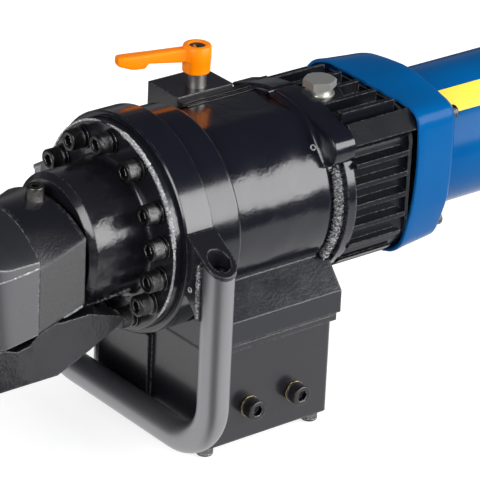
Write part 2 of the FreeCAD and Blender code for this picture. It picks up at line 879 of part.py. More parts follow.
def make_head_frame():
    """Bending head: neck, bolting flange, gusset and the cradle that carries the rollers."""
    bevelled = dims.neck_radius - dims.neck_bevel
    flange_radius = dims.ring_radius - dims.ring_lip - dims.slide_gap
    seat = dims.ring_recess
    fillet_top = dims.neck_radius + dims.neck_fillet
    body = Body("HeadFrame")
    body.turn([[
        (-dims.neck_reach, dims.neck_bore), (-dims.neck_reach, bevelled),
        (dims.neck_bevel - dims.neck_reach, dims.neck_radius),
        (FLANGE_FRONT - dims.neck_fillet, dims.neck_radius),
        (FLANGE_FRONT, fillet_top, dims.neck_fillet),
        (FLANGE_FRONT, flange_radius - dims.flange_bevel),
        (FLANGE_FRONT + dims.flange_bevel, flange_radius),
        (seat, flange_radius), (seat, dims.neck_bore),
    ]])
    slope = (dims.ram_front_bottom - dims.ram_rear_bottom) / (dims.ram_front - dims.ram_rear)

    def under_ram(place_x):
        """Height just under the ram block's sloping underside."""
        return -(dims.ram_rear_bottom + slope * (place_x - dims.ram_rear) + dims.slide_gap)

    body.pad("XZ_Plane", [[
        (-dims.cradle_flare_start, -dims.cradle_bottom), (-dims.cradle_rear, -dims.cradle_bottom),
        (-dims.cradle_rear, under_ram(dims.cradle_rear)), (-dims.ram_front, under_ram(dims.ram_front)),
        (-dims.lens_start, CRADLE_TOP - dims.lens_lip),
        (-dims.lens_middle, CRADLE_TOP - dims.lens_depth), (-dims.lens_end, CRADLE_TOP),
        (-dims.cradle_flare_start, CRADLE_TOP),
    ]], -dims.cradle_half_width, dims.cradle_half_width)
    corner = dims.cradle_corner
    half = dims.cradle_half_width
    wide = CRADLE_WIDE_HALF
    body.pad("XY_Plane", [[
        (-dims.cradle_flare_start, -half), (-dims.cradle_flare_start, half),
        (-dims.cradle_flare_end, wide), (corner - CRADLE_REACH, wide),
        (-CRADLE_REACH, wide - corner, corner), (-CRADLE_REACH, corner - wide),
        (corner - CRADLE_REACH, -wide, corner), (-dims.cradle_flare_end, -wide),
    ]], -dims.cradle_bottom, CRADLE_TOP)
    gusset_front = dims.cradle_rear + dims.overrun
    body.pad("XZ_Plane", [[
        (-gusset_front, -dims.cradle_bottom), (-dims.cradle_rear, -dims.cradle_bottom),
        (-dims.gusset_toe, -dims.gusset_toe_drop), (-dims.gusset_rear, -dims.gusset_rear_drop),
        (-dims.gusset_rear, -dims.gusset_rear_top), (-dims.gusset_toe, -dims.gusset_top_drop),
        (-gusset_front, -dims.gusset_top_drop),
    ]], -half, half)
    body.groove([rectangle(-dims.neck_reach, seat, 0, dims.neck_bore)])
    hole = dims.screw_radius + dims.screw_clearance
    holes = [(*spoke(dims.screw_circle, angle), hole) for angle in FLANGE_SCREW_ANGLES]
    body.pocket("YZ_Plane", holes, FLANGE_FRONT, seat)
    pin_hole = dims.pin_radius + dims.fit_gap
    pins = [(ROLLER_X, side * dims.roller_half_pitch, pin_hole) for side in (-1, 1)]
    body.pocket("XY_Plane", pins, -dims.cradle_bottom, CRADLE_TOP)
    body.pocket("XY_Plane", [rectangle(
        -dims.cradle_hollow_front, -dims.cradle_hollow_rear,
        -dims.cradle_hollow_half, dims.cradle_hollow_half,
    )], -dims.cradle_bottom, dims.cradle_hollow_depth - dims.cradle_bottom)
    node("head_frame", body)


def make_ram():
    """Ram block, its screw and the bending former that it pushes."""
    body = Body("RamBlock")
    half = dims.ram_half_width
    sections = []
    for place_x, bottom, side in (
        (dims.ram_rear, dims.ram_rear_bottom, dims.ram_rear_side),
        (dims.ram_front, dims.ram_front_bottom, dims.ram_front_side),
    ):
        crown = bow_radius(half, dims.ram_crest - side)
        outline = [(-half, -bottom), (half, -bottom), (half, side), (-half, side, crown)]
        sections.append(body.sketch("YZ_Plane", [outline], (0, 0, -place_x)))
    body.loft(sections)
    body.pocket("YZ_Plane", [(0, 0, dims.rod_radius + dims.fit_gap)],
                -(dims.ram_rear + dims.rod_depth_in_block), -dims.ram_rear)
    seat = dims.ram_screw_seat
    spot = (-dims.ram_screw_place, 0)
    face = dims.ram_screw_head_radius + dims.screw_clearance
    body.pocket("XY_Plane", [(*spot, face)], seat, dims.ram_crest + dims.overrun)
    body.pocket("XY_Plane", [(*spot, dims.ram_screw_radius + dims.thread_gap)],
                seat - dims.ram_screw_length, seat)
    node("ram_block", body)
    node("ram_block_screw", cap_screw(
        (*spot, seat), "z", -1, dims.ram_screw_length, dims.ram_screw_radius, dims.ram_screw_head_radius,
        dims.ram_screw_head_height, dims.ram_screw_socket_radius, dims.screw_socket_depth))

    former = Body("BendingFormer")
    radius = dims.former_radius
    bottom = CRADLE_TOP + dims.slide_gap
    former.pad("XY_Plane", [[
        (-dims.ram_front, -radius), (-dims.ram_front, radius), (-dims.former_centre, radius),
        (-(dims.former_centre + radius), 0, radius), (-dims.former_centre, -radius, radius),
    ]], bottom, dims.ram_crest)
    wide = radius + dims.overrun
    side = dims.ram_front_side
    crown = bow_radius(wide, dims.ram_crest - side)
    above = dims.ram_crest + dims.overrun
    former.pocket("YZ_Plane", [[
        (wide, above), (-wide, above), (-wide, side),
        (0, dims.ram_crest, -crown), (wide, side, -crown),
    ]], -(dims.former_centre + wide), -dims.ram_front)
    former.pocket("XZ_Plane", [[
        (-dims.ram_front, bottom), (-dims.ram_front, -dims.ram_front_bottom), (-dims.lens_end, bottom),
    ]], -wide, wide)
    former.pocket("XY_Plane", [(-dims.former_centre, 0, dims.former_hollow_radius)],
                  bottom, bottom + dims.former_hollow_height)
    node("bending_former", former)


def make_rod_and_piston():
    """Piston rod, piston with seals, return spring, bushing and wiper."""
    rod_front = -(dims.ram_rear + dims.rod_depth_in_block)
    rod_rear = PISTON_REAR + dims.rod_end_width
    spigot = dims.rod_spigot_radius
    body = Body("PistonRod")
    body.turn([[
        (rod_front, 0), (rod_front, dims.rod_radius), (dims.piston_front, dims.rod_radius),
        (dims.piston_front, spigot), (PISTON_REAR, spigot), (PISTON_REAR, dims.rod_radius),
        (rod_rear, dims.rod_radius), (rod_rear, 0),
    ]])
    node("piston_rod", body)

    outer = dims.bore_radius - dims.fit_gap
    land = outer - dims.seal_depth
    first = dims.piston_front + dims.seal_inset
    second = PISTON_REAR - dims.seal_inset - dims.seal_width
    piston = Body("Piston")
    piston.turn([[
        (dims.piston_front, spigot + dims.fit_gap), (dims.piston_front, outer),
        (first, outer), (first, land), (first + dims.seal_width, land), (first + dims.seal_width, outer),
        (second, outer), (second, land), (second + dims.seal_width, land),
        (second + dims.seal_width, outer), (PISTON_REAR, outer), (PISTON_REAR, spigot + dims.fit_gap),
    ]])
    node("piston", piston)
    seals = [ring(outer, land, dims.seal_width, (start, 0, 0)) for start in (first, second)]
    node("piston_seals", group(*seals))
    spring_front = dims.ring_recess + dims.slide_gap
    spring_length = dims.piston_front - dims.slide_gap - spring_front
    inner = dims.spring_outer_radius - dims.spring_wall
    node("return_spring", ring(dims.spring_outer_radius, inner, spring_length, (spring_front, 0, 0)))
    bushing_front = dims.wiper_width - dims.neck_reach
    hole = dims.rod_radius + dims.fit_gap
    node("rod_bushing", ring(dims.neck_bore - dims.fit_gap, hole, dims.ring_recess - bushing_front,
                             (bushing_front, 0, 0)))
    node("rod_wiper", ring(dims.neck_bore - dims.fit_gap, hole, dims.wiper_width,
                           (-dims.neck_reach, 0, 0)))


def make_rollers():
    """Two bending rollers on upright pins, with clips under the cradle."""
    floor = CRADLE_TOP + dims.slide_gap
    top = floor + dims.roller_height
    bore = dims.pin_radius + dims.fit_gap
    bevel = dims.roller_radius - dims.roller_bevel
    head = top + dims.slide_gap
    head_top = head + dims.pin_head_height
    pin_low = -(dims.cradle_bottom + dims.pin_tail)
    clip_low = -(dims.cradle_bottom + dims.clip_width)
    groove = dims.pin_radius - dims.clip_groove
    pins = []
    clips = []
    for label, side in (("roller_left", 1), ("roller_right", -1)):
        place_y = side * dims.roller_half_pitch
        roller = Body(label.title().replace("_", ""))
        roller.turn([[
            (bore, floor), (bevel, floor), (dims.roller_radius, floor + dims.roller_bevel),
            (dims.roller_radius, top - dims.roller_bevel), (bevel, top), (bore, top),
        ]], "z", (ROLLER_X, place_y, 0))
        node(label, roller)
        pin = Body("RollerPin")
        pin.turn([[
            (0, pin_low), (dims.pin_radius, pin_low), (dims.pin_radius, clip_low), (groove, clip_low),
            (groove, -dims.cradle_bottom), (dims.pin_radius, -dims.cradle_bottom), (dims.pin_radius, head),
            (dims.pin_head_radius, head), (dims.pin_head_radius, head_top - dims.roller_bevel),
            (dims.pin_head_radius - dims.roller_bevel, head_top), (0, head_top),
        ]], "z", (ROLLER_X, place_y, 0))
        pins.append(pin.body)
        mouth = dims.clip_mouth / 2
        clip = cut(ring(dims.clip_radius, groove + dims.thread_gap, dims.clip_width,
                        (ROLLER_X, place_y, clip_low), "z"),
                   box((ROLLER_X, place_y - mouth, clip_low),
                       (ROLLER_X + dims.clip_radius, place_y + mouth, -dims.cradle_bottom)))
        clips.append(clip)
    node("roller_pins", group(*pins))
    node("pin_clips", group(*clips))


def make_flange_fasteners():
    """Cap screws of the bolting flange with their spring washers and flat washers."""
    screws = []
    springs = []
    flats = []
    hole = dims.screw_radius + dims.screw_clearance
    for angle in FLANGE_SCREW_ANGLES:
        place_y, place_z = spoke(dims.screw_circle, angle)
        screws.append(cap_screw(
            (HEAD_SEAT, place_y, place_z), "x", 1, dims.flange_screw_length, dims.screw_radius,
            dims.screw_head_radius, dims.screw_head_height, dims.screw_socket_radius,
            dims.screw_socket_depth))
        spring = ring(dims.spring_washer_radius, hole, dims.spring_washer_width,
                      (HEAD_SEAT, place_y, place_z))
        mouth = box((HEAD_SEAT, place_y, place_z - dims.spring_washer_mouth / 2),
                    (HEAD_SEAT + dims.spring_washer_width, place_y + dims.flat_washer_radius,
                     place_z + dims.spring_washer_mouth / 2))
        springs.append(cut(spring, mouth))
        flats.append(ring(dims.flat_washer_radius, hole, dims.flat_washer_width,
                          (HEAD_SEAT + dims.spring_washer_width, place_y, place_z)))
    node("flange_screws", group(*screws))
    node("spring_washers", group(*springs))
    node("flat_washers", group(*flats))


def make_carry_handle():
    """U-shaped tube handle with its two brackets and their screws."""
    half = dims.tube_half_pitch
    bend = dims.tube_bend
    low = -dims.tube_bottom
    top = dims.tube_rise
    reach = BRACKET_REACH
    beyond = reach + dims.overrun
    inner = dims.ring_radius - dims.bracket_overlap
    above = dims.bracket_top_inner + dims.bracket_overlap

    def cap_top(across):
        """Height of the bracket's sloping top."""
        return dims.bracket_top_outer + BRACKET_SLOPE * (reach - across)

    def over_slope(side, drop, ceiling):
        """Region above the sloping top, or above a slope this far under it."""
        return [(side * inner, cap_top(inner) - drop), (side * beyond, cap_top(beyond) - drop),
                (side * beyond, ceiling), (side * inner, ceiling)]

    thickness = dims.bracket_cap_thickness
    body = Body("CarryHandle")
    path = body.sketch("YZ_Plane", [[
        (-half, top), (-half, low + bend), (bend - half, low, bend), (half - bend, low),
        (half, low + bend, bend), (half, top),
    ]], (0, 0, TUBE_CENTRE), closed=False)
    spot = (TUBE_CENTRE, -half)
    circles = [(*spot, dims.tube_radius), (*spot, dims.tube_radius - dims.tube_wall)]
    profile = body.sketch("XY_Plane", circles, (0, 0, top))
    pipe = body.body.newObject("PartDesign::AdditivePipe", "Pipe")
    pipe.Profile = profile
    pipe.Spine = path
    pipe.Transition = 1
    body.pocket("YZ_Plane", [over_slope(side, thickness, above) for side in (-1, 1)], 0, dims.ring_width)
    node("carry_handle", body)

    brackets = []
    screws = []
    seat = -dims.cap_recess_floor
    knee = half - dims.bracket_web_gap
    spigot = dims.tube_radius - dims.tube_wall - dims.fit_gap
    for side in (-1, 1):
        bracket = Body("Bracket")
        bracket.pad("YZ_Plane", [[
            (side * inner, -dims.bracket_inner_low), (side * dims.ring_radius, -dims.bracket_inner_low),
            (side * knee, -dims.bracket_outer_low), (side * knee, above), (side * inner, above),
        ]], 0, dims.ring_width)
        spot = (TUBE_CENTRE, side * half)
        bracket.pocket("XY_Plane", [(*spot, dims.tube_radius + dims.slide_gap)],
                       -(dims.bracket_outer_low + dims.overrun), above)
        bracket.pad("YZ_Plane", [over_slope(side, thickness, above)], 0, dims.ring_width)
        bracket.pocket("YZ_Plane", [rectangle(
            min_size(side * reach, side * beyond), max_size(side * reach, side * beyond),
            -dims.bracket_overlap, above + dims.overrun,
        )], 0, dims.ring_width)
        outer = side * reach

        def end_edge(edge):
            """Whether an edge stands upright at the bracket's outer end."""
            return is_at_side(edge, outer) and along(edge, "z") > dims.tube_radius.value

        bracket.round(dims.bracket_round, end_edge)
        bracket.pad("XY_Plane", [(*spot, spigot)], -dims.spigot_drop, above)
        bracket.pocket("YZ_Plane", [over_slope(side, 0, above + dims.overrun)], 0, dims.ring_width)
        bracket.pocket("YZ_Plane", [(0, 0, dims.ring_radius)], 0, dims.ring_width)
        bracket.pocket("XY_Plane", [(*spot, dims.cap_recess_radius)], seat, above)
        bracket.pocket("XY_Plane", [(*spot, dims.cap_screw_radius + dims.thread_gap)],
                       seat - dims.cap_screw_length, seat)
        brackets.append(bracket.body)
        screws.append(cap_screw(
            (*spot, seat), "z", -1, dims.cap_screw_length, dims.cap_screw_radius,
            dims.cap_screw_head_radius, dims.cap_screw_head_height, dims.cap_socket_radius,
            dims.cap_socket_depth))
    node("handle_brackets", group(*brackets))
    node("bracket_screws", group(*screws))


def is_at_side(edge, size):
    """Whether an edge lies at one place along y."""
    return is_at(edge, "y", size)


def make_tank():
    """Oil tank with gasket, side screws, foot bolts and the suction tube."""
    rim_rear = dims.skirt_rear - dims.rim_rear_inset
    rim_side = dims.skirt_half_width - dims.rim_side_inset
    shell_top = RIM_TOP - dims.rim_height
    half = dims.tank_half_width
    front = dims.skirt_front
    body = Body("OilTank")
    body.pad("XY_Plane", [rectangle(front, dims.tank_rear, -half, half)], TANK_FLOOR, shell_top)
    body.round(dims.tank_front_round,
               lambda edge: is_at(edge, "x", front) and along(edge, "y") < TOUCH)
    body.round(dims.tank_rear_round,
               lambda edge: is_at(edge, "x", dims.tank_rear) and along(edge, "y") < TOUCH)
    body.pad("XY_Plane", [rectangle(front, rim_rear, -rim_side, rim_side)], shell_top, RIM_TOP)
    pad = rectangle(-dims.tank_pad_near, dims.tank_pad_far, -dims.tank_pad_bottom, -dims.tank_pad_top)
    body.pad("YZ_Plane", [pad], front - dims.tank_pad_proud, front)
    wall = dims.tank_wall
    hollow = rectangle(front + wall, dims.tank_rear - wall, wall - half, half - wall)
    body.pocket("XY_Plane", [hollow], TANK_FLOOR + wall, RIM_TOP)
    feet = [(along_x, side * dims.foot_half_pitch)
            for along_x in (dims.foot_front, dims.foot_rear) for side in (-1, 1)]
    hole = dims.foot_screw_radius + dims.thread_gap
    body.pocket("XY_Plane", [(*foot, hole) for foot in feet], TANK_FLOOR, TANK_FLOOR + wall)
    side_hole = dims.screw_radius + dims.thread_gap
    places = [dims.side_screw_front, dims.side_screw_front + dims.side_screw_pitch]
    side_holes = [(place_x, -dims.side_screw_drop, side_hole) for place_x in places]
    body.pocket("XZ_Plane", side_holes, -half, half)
    node("oil_tank", body)

    gasket = Body("TankGasket")
    gasket.pad("XY_Plane", [rectangle(front, rim_rear, -rim_side, rim_side), gallery_outline()],
               RIM_TOP, -dims.skirt_bottom)
    gasket.pocket("XY_Plane", [(*foot, hole) for foot in feet], RIM_TOP, -dims.skirt_bottom)
    node("tank_gasket", gasket)

    screws = []
    washers = []
    for place_x in places:
        for toward in (1, -1):
            seat = (place_x, -toward * SIDE_SEAT, -dims.side_screw_drop)
            screws.append(cap_screw(
                seat, "y", toward, dims.side_screw_length, dims.screw_radius, dims.screw_head_radius,
                dims.screw_head_height, dims.screw_socket_radius, dims.screw_socket_depth))
            washer_low = -SIDE_SEAT if toward > 0 else half
            washers.append(ring(dims.side_washer_radius, side_hole, dims.side_washer_thickness,
                                (place_x, washer_low, -dims.side_screw_drop), "y"))
    node("tank_side_screws", group(*screws))
    node("tank_side_washers", group(*washers))

    bolts = []
    pads = []
    floor = TANK_FLOOR - dims.foot_washer_thickness
    length = dims.foot_thread_depth - dims.skirt_bottom - floor
    for foot in feet:
        bolts.append(cap_screw(
            (*foot, floor), "z", 1, length, dims.foot_screw_radius, dims.foot_head_radius,
            dims.foot_head_height, dims.foot_socket_radius, dims.foot_socket_depth))
        pads.append(ring(dims.foot_washer_radius, hole, dims.foot_washer_thickness,
                         (*foot, floor), "z"))
    node("tank_foot_screws", group(*bolts))
    node("tank_foot_washers", group(*pads))

    roof = dims.gallery_height - dims.skirt_bottom
    spot = (dims.suction_place, dims.suction_side)
    tube = ring(dims.suction_radius, dims.suction_bore, dims.suction_length,
                (*spot, roof - dims.suction_length), "z")
    strainer = rod(dims.strainer_radius, dims.strainer_height,
                   (*spot, roof - dims.suction_length - dims.strainer_height), "z")
    node("suction_tube", fuse(tube, strainer))


def make_clamp():
    """Clamp block on the casting, grooved stop bar, stud and the orange lever."""
    near = dims.block_near
    rear = dims.block_front + dims.block_length
    body = Body("ClampBlock")
    body.pad("XY_Plane", [rectangle(dims.block_front, rear, near, near + dims.block_width)],
             dims.block_top - dims.block_depth, dims.block_top)
    body.pocket("YZ_Plane", [(0, 0, dims.body_radius)], dims.block_front, rear)
    spot = (dims.stud_place, dims.stud_side)
    stud_floor = dims.block_top - dims.stud_depth
    body.pocket("XY_Plane", [(*spot, dims.stud_radius + dims.fit_gap)], stud_floor, dims.block_top)
    node("clamp_block", body)

    bar = Body("StopBar")
    floor = BAR_TOP - dims.bar_height
    bar_rear = dims.bar_front + dims.bar_length
    bar_far = dims.bar_near + dims.bar_width
    bar.pad("XY_Plane", [rectangle(dims.bar_front, bar_rear, dims.bar_near, bar_far)], floor, BAR_TOP)
    groove_near = dims.bar_near + dims.bar_groove_inset
    groove = rectangle(dims.bar_front, bar_rear, groove_near, groove_near + dims.bar_groove_width)
    bar.pocket("XY_Plane", [groove], BAR_TOP - dims.bar_groove_depth, BAR_TOP)
    node("stop_bar", bar)

    neck = dims.stud_neck_radius
    neck_top = HUB_FLOOR + dims.stud_neck_height
    stud = Body("ClampStud")
    stud.turn([[
        (0, stud_floor), (dims.stud_radius, stud_floor), (dims.stud_radius, HUB_FLOOR),
        (neck, HUB_FLOOR), (neck, neck_top), (0, neck_top),
    ]], "z", (*spot, 0))
    node("clamp_stud", stud)

    lever = Body("ClampLever")
    hub_top = HUB_TOP
    recess_floor = hub_top - dims.hub_recess_depth
    hub_low = HUB_FLOOR + dims.fit_gap
    lever.turn([[
        (0, hub_low), (dims.hub_radius, hub_low), (dims.hub_radius, hub_top - dims.hub_bevel),
        (dims.hub_radius - dims.hub_bevel, hub_top), (0, hub_top),
    ]], "z", (*spot, 0))
    side_view = [
        (0, hub_top - dims.lever_root_low), (0, hub_top - dims.lever_root_drop),
        (-dims.lever_reach, hub_top - dims.lever_tip_drop),
        (-dims.lever_reach, hub_top - dims.lever_tip_low),
        (-dims.lever_foot_end, hub_top - dims.lever_foot_low),
        (-dims.lever_foot_start, hub_top - dims.lever_foot_low),
        (-dims.lever_waist, hub_top - dims.lever_waist_low),
    ]
    sketch = lever.sketch("XZ_Plane", [side_view])
    swing = math.degrees(math.atan2(dims.lever_swing.value, dims.lever_reach.value))
    sketch.AttachmentOffset = FreeCAD.Placement(
        VECTOR(), FreeCAD.Rotation(VECTOR(0, 1, 0), -swing))
    bind(sketch, ".AttachmentOffset.Base.x", dims.stud_place)
    bind(sketch, ".AttachmentOffset.Base.z", -dims.stud_side)
    arm = lever.body.newObject("PartDesign::Pad", "Pad")
    arm.Profile = sketch
    arm.SideType = "Symmetric"
    bind(arm, "Length", dims.lever_width)
    lever.pocket("XY_Plane", [(*spot, dims.hub_recess_radius)], recess_floor, hub_top)
    lever.pocket("XY_Plane", [(*spot, neck + dims.fit_gap)], hub_low, neck_top + dims.fit_gap)
    lever.pocket("XY_Plane", [(*spot, dims.lever_screw_radius + dims.thread_gap)], hub_low, hub_top)
    node("clamp_lever", lever)
    node("lever_screw", cap_screw(
        (*spot, recess_floor), "z", -1, recess_floor - neck_top, dims.lever_screw_radius,
        dims.lever_screw_head_radius, dims.lever_screw_head_height, dims.cap_socket_radius,
        dims.cap_socket_depth))


def shell_outline(half_width, half_height, small, large):
    """Section of the housing and hood: two tight corners and two wide ones, set crosswise."""
    return [
        (-half_width, large - half_height), (large - half_width, -half_height, large),
        (half_width - small, -half_height), (half_width, small - half_height, small),
        (half_width, half_height - large), (half_width - large, half_height, large),
        (small - half_width, half_height), (-half_width, half_height - small, small),
    ]


def make_pump_housing():
    """Finned housing with the pump chamber, the bearing seat and the filler boss."""
    shell = shell_outline(dims.shell_half_width, dims.shell_half_height, dims.shell_small_round,
                          dims.shell_large_round)
    fin_end = REAR_FACE + dims.fin_end
    envelope = Body("FinEnvelope")
    envelope.pad("YZ_Plane", [shell], REAR_FACE, fin_end)
    round_size = dims.core_round
    core_y = dims.core_half_width
    core_z = dims.core_half_height
    core = Body("HousingCore")
    core_outline = shell_outline(core_y, core_z, round_size, round_size)
    core.pad("YZ_Plane", [core_outline], REAR_FACE, HOUSING_REAR)
    half = dims.fin_thickness / 2
    wide = dims.shell_half_width + dims.overrun
    fins = []
    for index in range(SIDE_FINS):
        level = dims.side_fin_top - index * dims.side_fin_pitch
        fins.append(box((REAR_FACE, -wide, level - half), (fin_end, wide, level + half)))
    for index in range(TOP_FINS):
        level = (index - (TOP_FINS - 1) / 2) * dims.top_fin_pitch
        fins.append(box((REAR_FACE, level - half, -wide), (fin_end, level + half, wide)))
    finned = common(fuse(*fins), envelope.body)
    ribs = []
    rib_half = dims.corner_rib_width / 2
    for angle in CORNER_RIB_ANGLES:
        outer = dims.corner_rib_outer if angle in CORNER_RIB_ANGLES[:2] else dims.shell_half_width
        rib = box((REAR_FACE, -outer, -rib_half), (HOUSING_REAR, -dims.corner_rib_inner, rib_half))
        ribs.append(turned(rib, -angle))
    boss = rod(dims.boss_radius, dims.boss_top - dims.boss_floor,
               (dims.boss_place, -dims.boss_side, dims.boss_floor), "z")
    solid = fuse(core.body, finned, boss, *ribs)
    chamber_end = REAR_FACE + dims.chamber_length
    chamber = rod(dims.chamber_radius, dims.chamber_length, (REAR_FACE, 0, 0))
    seat = rod(dims.bearing_radius + dims.fit_gap, dims.bearing_width, (chamber_end, 0, 0))
    through = rod(dims.shaft_hole_radius, dims.housing_length, (REAR_FACE, 0, 0))
    thread = rod(dims.plug_thread_radius + dims.thread_gap, dims.boss_top - dims.boss_floor,
                 (dims.boss_place, -dims.boss_side, dims.boss_floor), "z")
    head_room = rod(dims.boss_radius, dims.plug_thread_length,
                    (dims.boss_place, -dims.boss_side, dims.boss_top), "z")
    front_trim = box((dims.skirt_front, -wide, -wide), (REAR_FACE, wide, wide))
    bites = [rod(dims.hood_screw_radius + dims.thread_gap, dims.hood_screw_bite,
                 (HOUSING_REAR - dims.hood_screw_bite, *spot)) for spot in HOOD_SCREWS]
    node("pump_housing", cut(solid, chamber, seat, through, thread, head_room, front_trim, *bites))

    spot = (dims.boss_place, -dims.boss_side)
    washer_top = dims.boss_top + dims.plug_washer_thickness
    node("filler_washer", ring(dims.plug_collar_radius, dims.plug_thread_radius + dims.thread_gap,
                               dims.plug_washer_thickness, (*spot, dims.boss_top), "z"))
    node("filler_plug", fuse(
        rod(dims.plug_thread_radius, dims.plug_thread_length + dims.plug_washer_thickness,
            (*spot, dims.boss_top - dims.plug_thread_length), "z"),
        rod(dims.plug_collar_radius, dims.plug_collar_height, (*spot, washer_top), "z"),
        hexagon(dims.plug_hex_radius, dims.plug_hex_height,
                (*spot, washer_top + dims.plug_collar_height), "z")))


def make_pump():
    """Pump block with three plungers round the eccentric, and the shaft's two bearings."""
    block = rod(dims.chamber_radius - dims.fit_gap, dims.chamber_length, (REAR_FACE, 0, 0))
    bore = rod(dims.pump_bore_radius, dims.chamber_length, (REAR_FACE, 0, 0))
    sweep = dims.eccentric_radius + dims.eccentric_throw + dims.slide_gap
    middle = REAR_FACE + dims.eccentric_start + dims.eccentric_width / 2
    bores = []
    plungers = []
    for angle in PLUNGER_ANGLES:
        hole = rod(dims.plunger_radius + dims.fit_gap, sweep + dims.plunger_length, (middle, 0, 0), "z")
        plunger = rod(dims.plunger_radius, dims.plunger_length, (middle, 0, sweep), "z")
        bores.append(turned(hole, angle - PLUNGER_ANGLES[0]))
        plungers.append(turned(plunger, angle - PLUNGER_ANGLES[0]))
    node("pump_block", cut(block, bore, *bores))
    node("pump_plungers", group(*plungers))
    front = REAR_FACE + dims.chamber_length
    hole = dims.shaft_radius + dims.fit_gap
    node("shaft_bearings", group(
        ring(dims.bearing_radius, hole, dims.bearing_width, (front, 0, 0)),
        ring(dims.rear_bearing_radius, hole, dims.rear_bearing_width, (dims.barrel_rear, 0, 0))))


def make_motor_rotor():
    """Shaft with its eccentric, slotted rotor core, commutator and fan."""
    shaft_front = REAR_FACE + dims.shaft_start
    shaft_rear = dims.barrel_rear + dims.rear_bearing_width
    shaft = rod(dims.shaft_radius, shaft_rear - shaft_front, (shaft_front, 0, 0))
    eccentric = rod(dims.eccentric_radius, dims.eccentric_width,
                    (REAR_FACE + dims.eccentric_start, 0, dims.eccentric_throw))
    node("motor_shaft", fuse(shaft, eccentric))
    hole = dims.shaft_radius + dims.fit_gap
    core = ring(dims.rotor_radius, hole, dims.rotor_length, (dims.rotor_start, 0, 0))
    slots = []
    half = dims.rotor_slot_width / 2
    for index in range(ROTOR_SLOTS):
        slot = box((dims.rotor_start, -half, dims.rotor_radius - dims.rotor_slot_depth),
                   (dims.rotor_start + dims.rotor_length, half, dims.rotor_radius + dims.overrun))
        slots.append(turned(slot, 360 * index / ROTOR_SLOTS))
    node("armature_core", cut(core, *slots))
    node("commutator", ring(dims.commutator_radius, hole, dims.commutator_length,
                            (dims.commutator_start, 0, 0)))
    plate_start = dims.fan_start + dims.fan_width - dims.fan_plate
    hub = rod(dims.fan_hub_radius, dims.fan_width, (dims.fan_start, 0, 0))
    plate = rod(dims.fan_radius, dims.fan_plate, (plate_start, 0, 0))
    blades = []
    thin = dims.fan_blade / 2
    for index in range(FAN_BLADES):
        blade = box((dims.fan_start, -thin, dims.fan_hub_radius - dims.fan_plate),
                    (plate_start, thin, dims.fan_radius - dims.fan_plate))
        blades.append(turned(blade, 360 * index / FAN_BLADES))
    shaft_hole = rod(hole, dims.fan_width, (dims.fan_start, 0, 0))
    node("cooling_fan", cut(fuse(hub, plate, *blades), shaft_hole))


